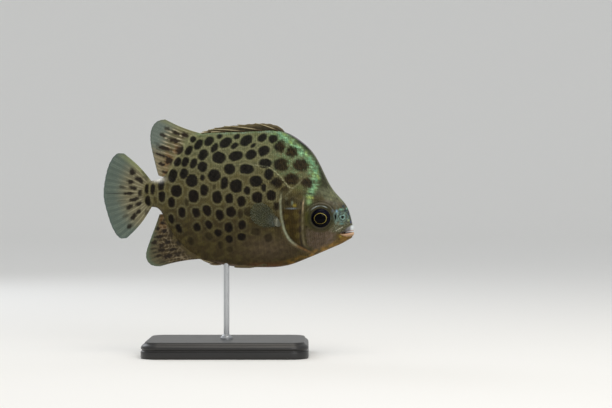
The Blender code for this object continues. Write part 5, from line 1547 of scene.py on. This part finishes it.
def make_floor():
    """A pale paper floor that sweeps up far behind the model."""
    made, tree = new_material("pale_studio_paper")
    close(tree, Base_Color=opaque("efeeeb"), Roughness=0.9, Specular_IOR_Level=0.2)
    profile = [(FLOOR_FRONT, 0.0), (FLOOR_BEND, 0.0)]
    profile += [(FLOOR_BEND + FLOOR_SWEEP * math.sin(turn), FLOOR_SWEEP * (1.0 - math.cos(turn)))
                for turn in np.linspace(0, math.pi / 2, 33)[1:]]
    profile.append((FLOOR_BEND + FLOOR_SWEEP, FLOOR_TOP))
    points = [(across, y, z) for y, z in profile for across in (-FLOOR_HALF_WIDTH, FLOOR_HALF_WIDTH)]
    faces = [(2 * i, 2 * i + 1, 2 * i + 3, 2 * i + 2) for i in range(len(profile) - 1)]
    mesh = new_mesh("floor", points, faces)
    mesh.materials.append(made)
    mesh.shade_smooth()
    floor = set_out("floor", mesh)


def make_light():
    """Soft studio light: an even surround and three broad lamps."""
    world = bpy.data.worlds.new("studio")
    world.use_nodes = True
    surround = world.node_tree.nodes["Background"]
    surround.inputs["Color"].default_value = opaque(SURROUND_COLOUR)
    surround.inputs["Strength"].default_value = SURROUND_STRENGTH
    bpy.context.scene.world = world
    for name, place, aim, size, power, colour in LAMPS:
        data = bpy.data.lights.new(name, "AREA")
        data.energy, data.size = power, size
        data.color = linear(colour)
        lamp = set_out(name, data)
        lamp.location = place
        lamp.rotation_euler = (Vector(aim) - Vector(place)).to_track_quat("-Z", "Y").to_euler()


def make_camera():
    """The camera at the photograph's angle, level and square to the fish's right side."""
    data = bpy.data.cameras.new("photograph_view")
    data.sensor_width = SENSOR
    data.lens = SENSOR * VIEW_DISTANCE / (FRAME_POINTS[0] * POINT_MM)
    camera = set_out("photograph_view", data)
    camera.location = (VIEW_CENTRE[0] * MM, -VIEW_DISTANCE * MM, VIEW_CENTRE[1] * MM)
    camera.rotation_euler = (math.radians(90), 0.0, 0.0)
    bpy.context.scene.camera = camera
    bpy.context.scene.view_settings.view_transform = "Standard"


def main():
    """Makes every piece of the fish and its stand, then the studio."""
    skin = make_skin(skin_material())
    plate, points_each = scale_plate()
    tree, sockets = scale_tree(scale_material())
    for name, side in (("scales_right", -1), ("scales_left", 1)):
        make_scales(name, side, skin, plate, points_each, tree, sockets)
    bpy.data.objects.remove(plate)
    make_eyes(eye_material())
    fins = fin_material()
    make_soft_dorsal(fins)
    make_soft_anal(fins)
    make_tail_fin(fins)
    make_paired_fins(fins, clear_fin_material())
    make_spiny_fin("dorsal_spines_folded", "back", "dorsal_fin_spiny", fins)
    make_spiny_fin("anal_spines_folded", "belly", "anal_fin_spines", fins)
    make_base(lacquer_material())
    make_rod(steel_material())
    make_floor()
    make_light()
    make_camera()


main()
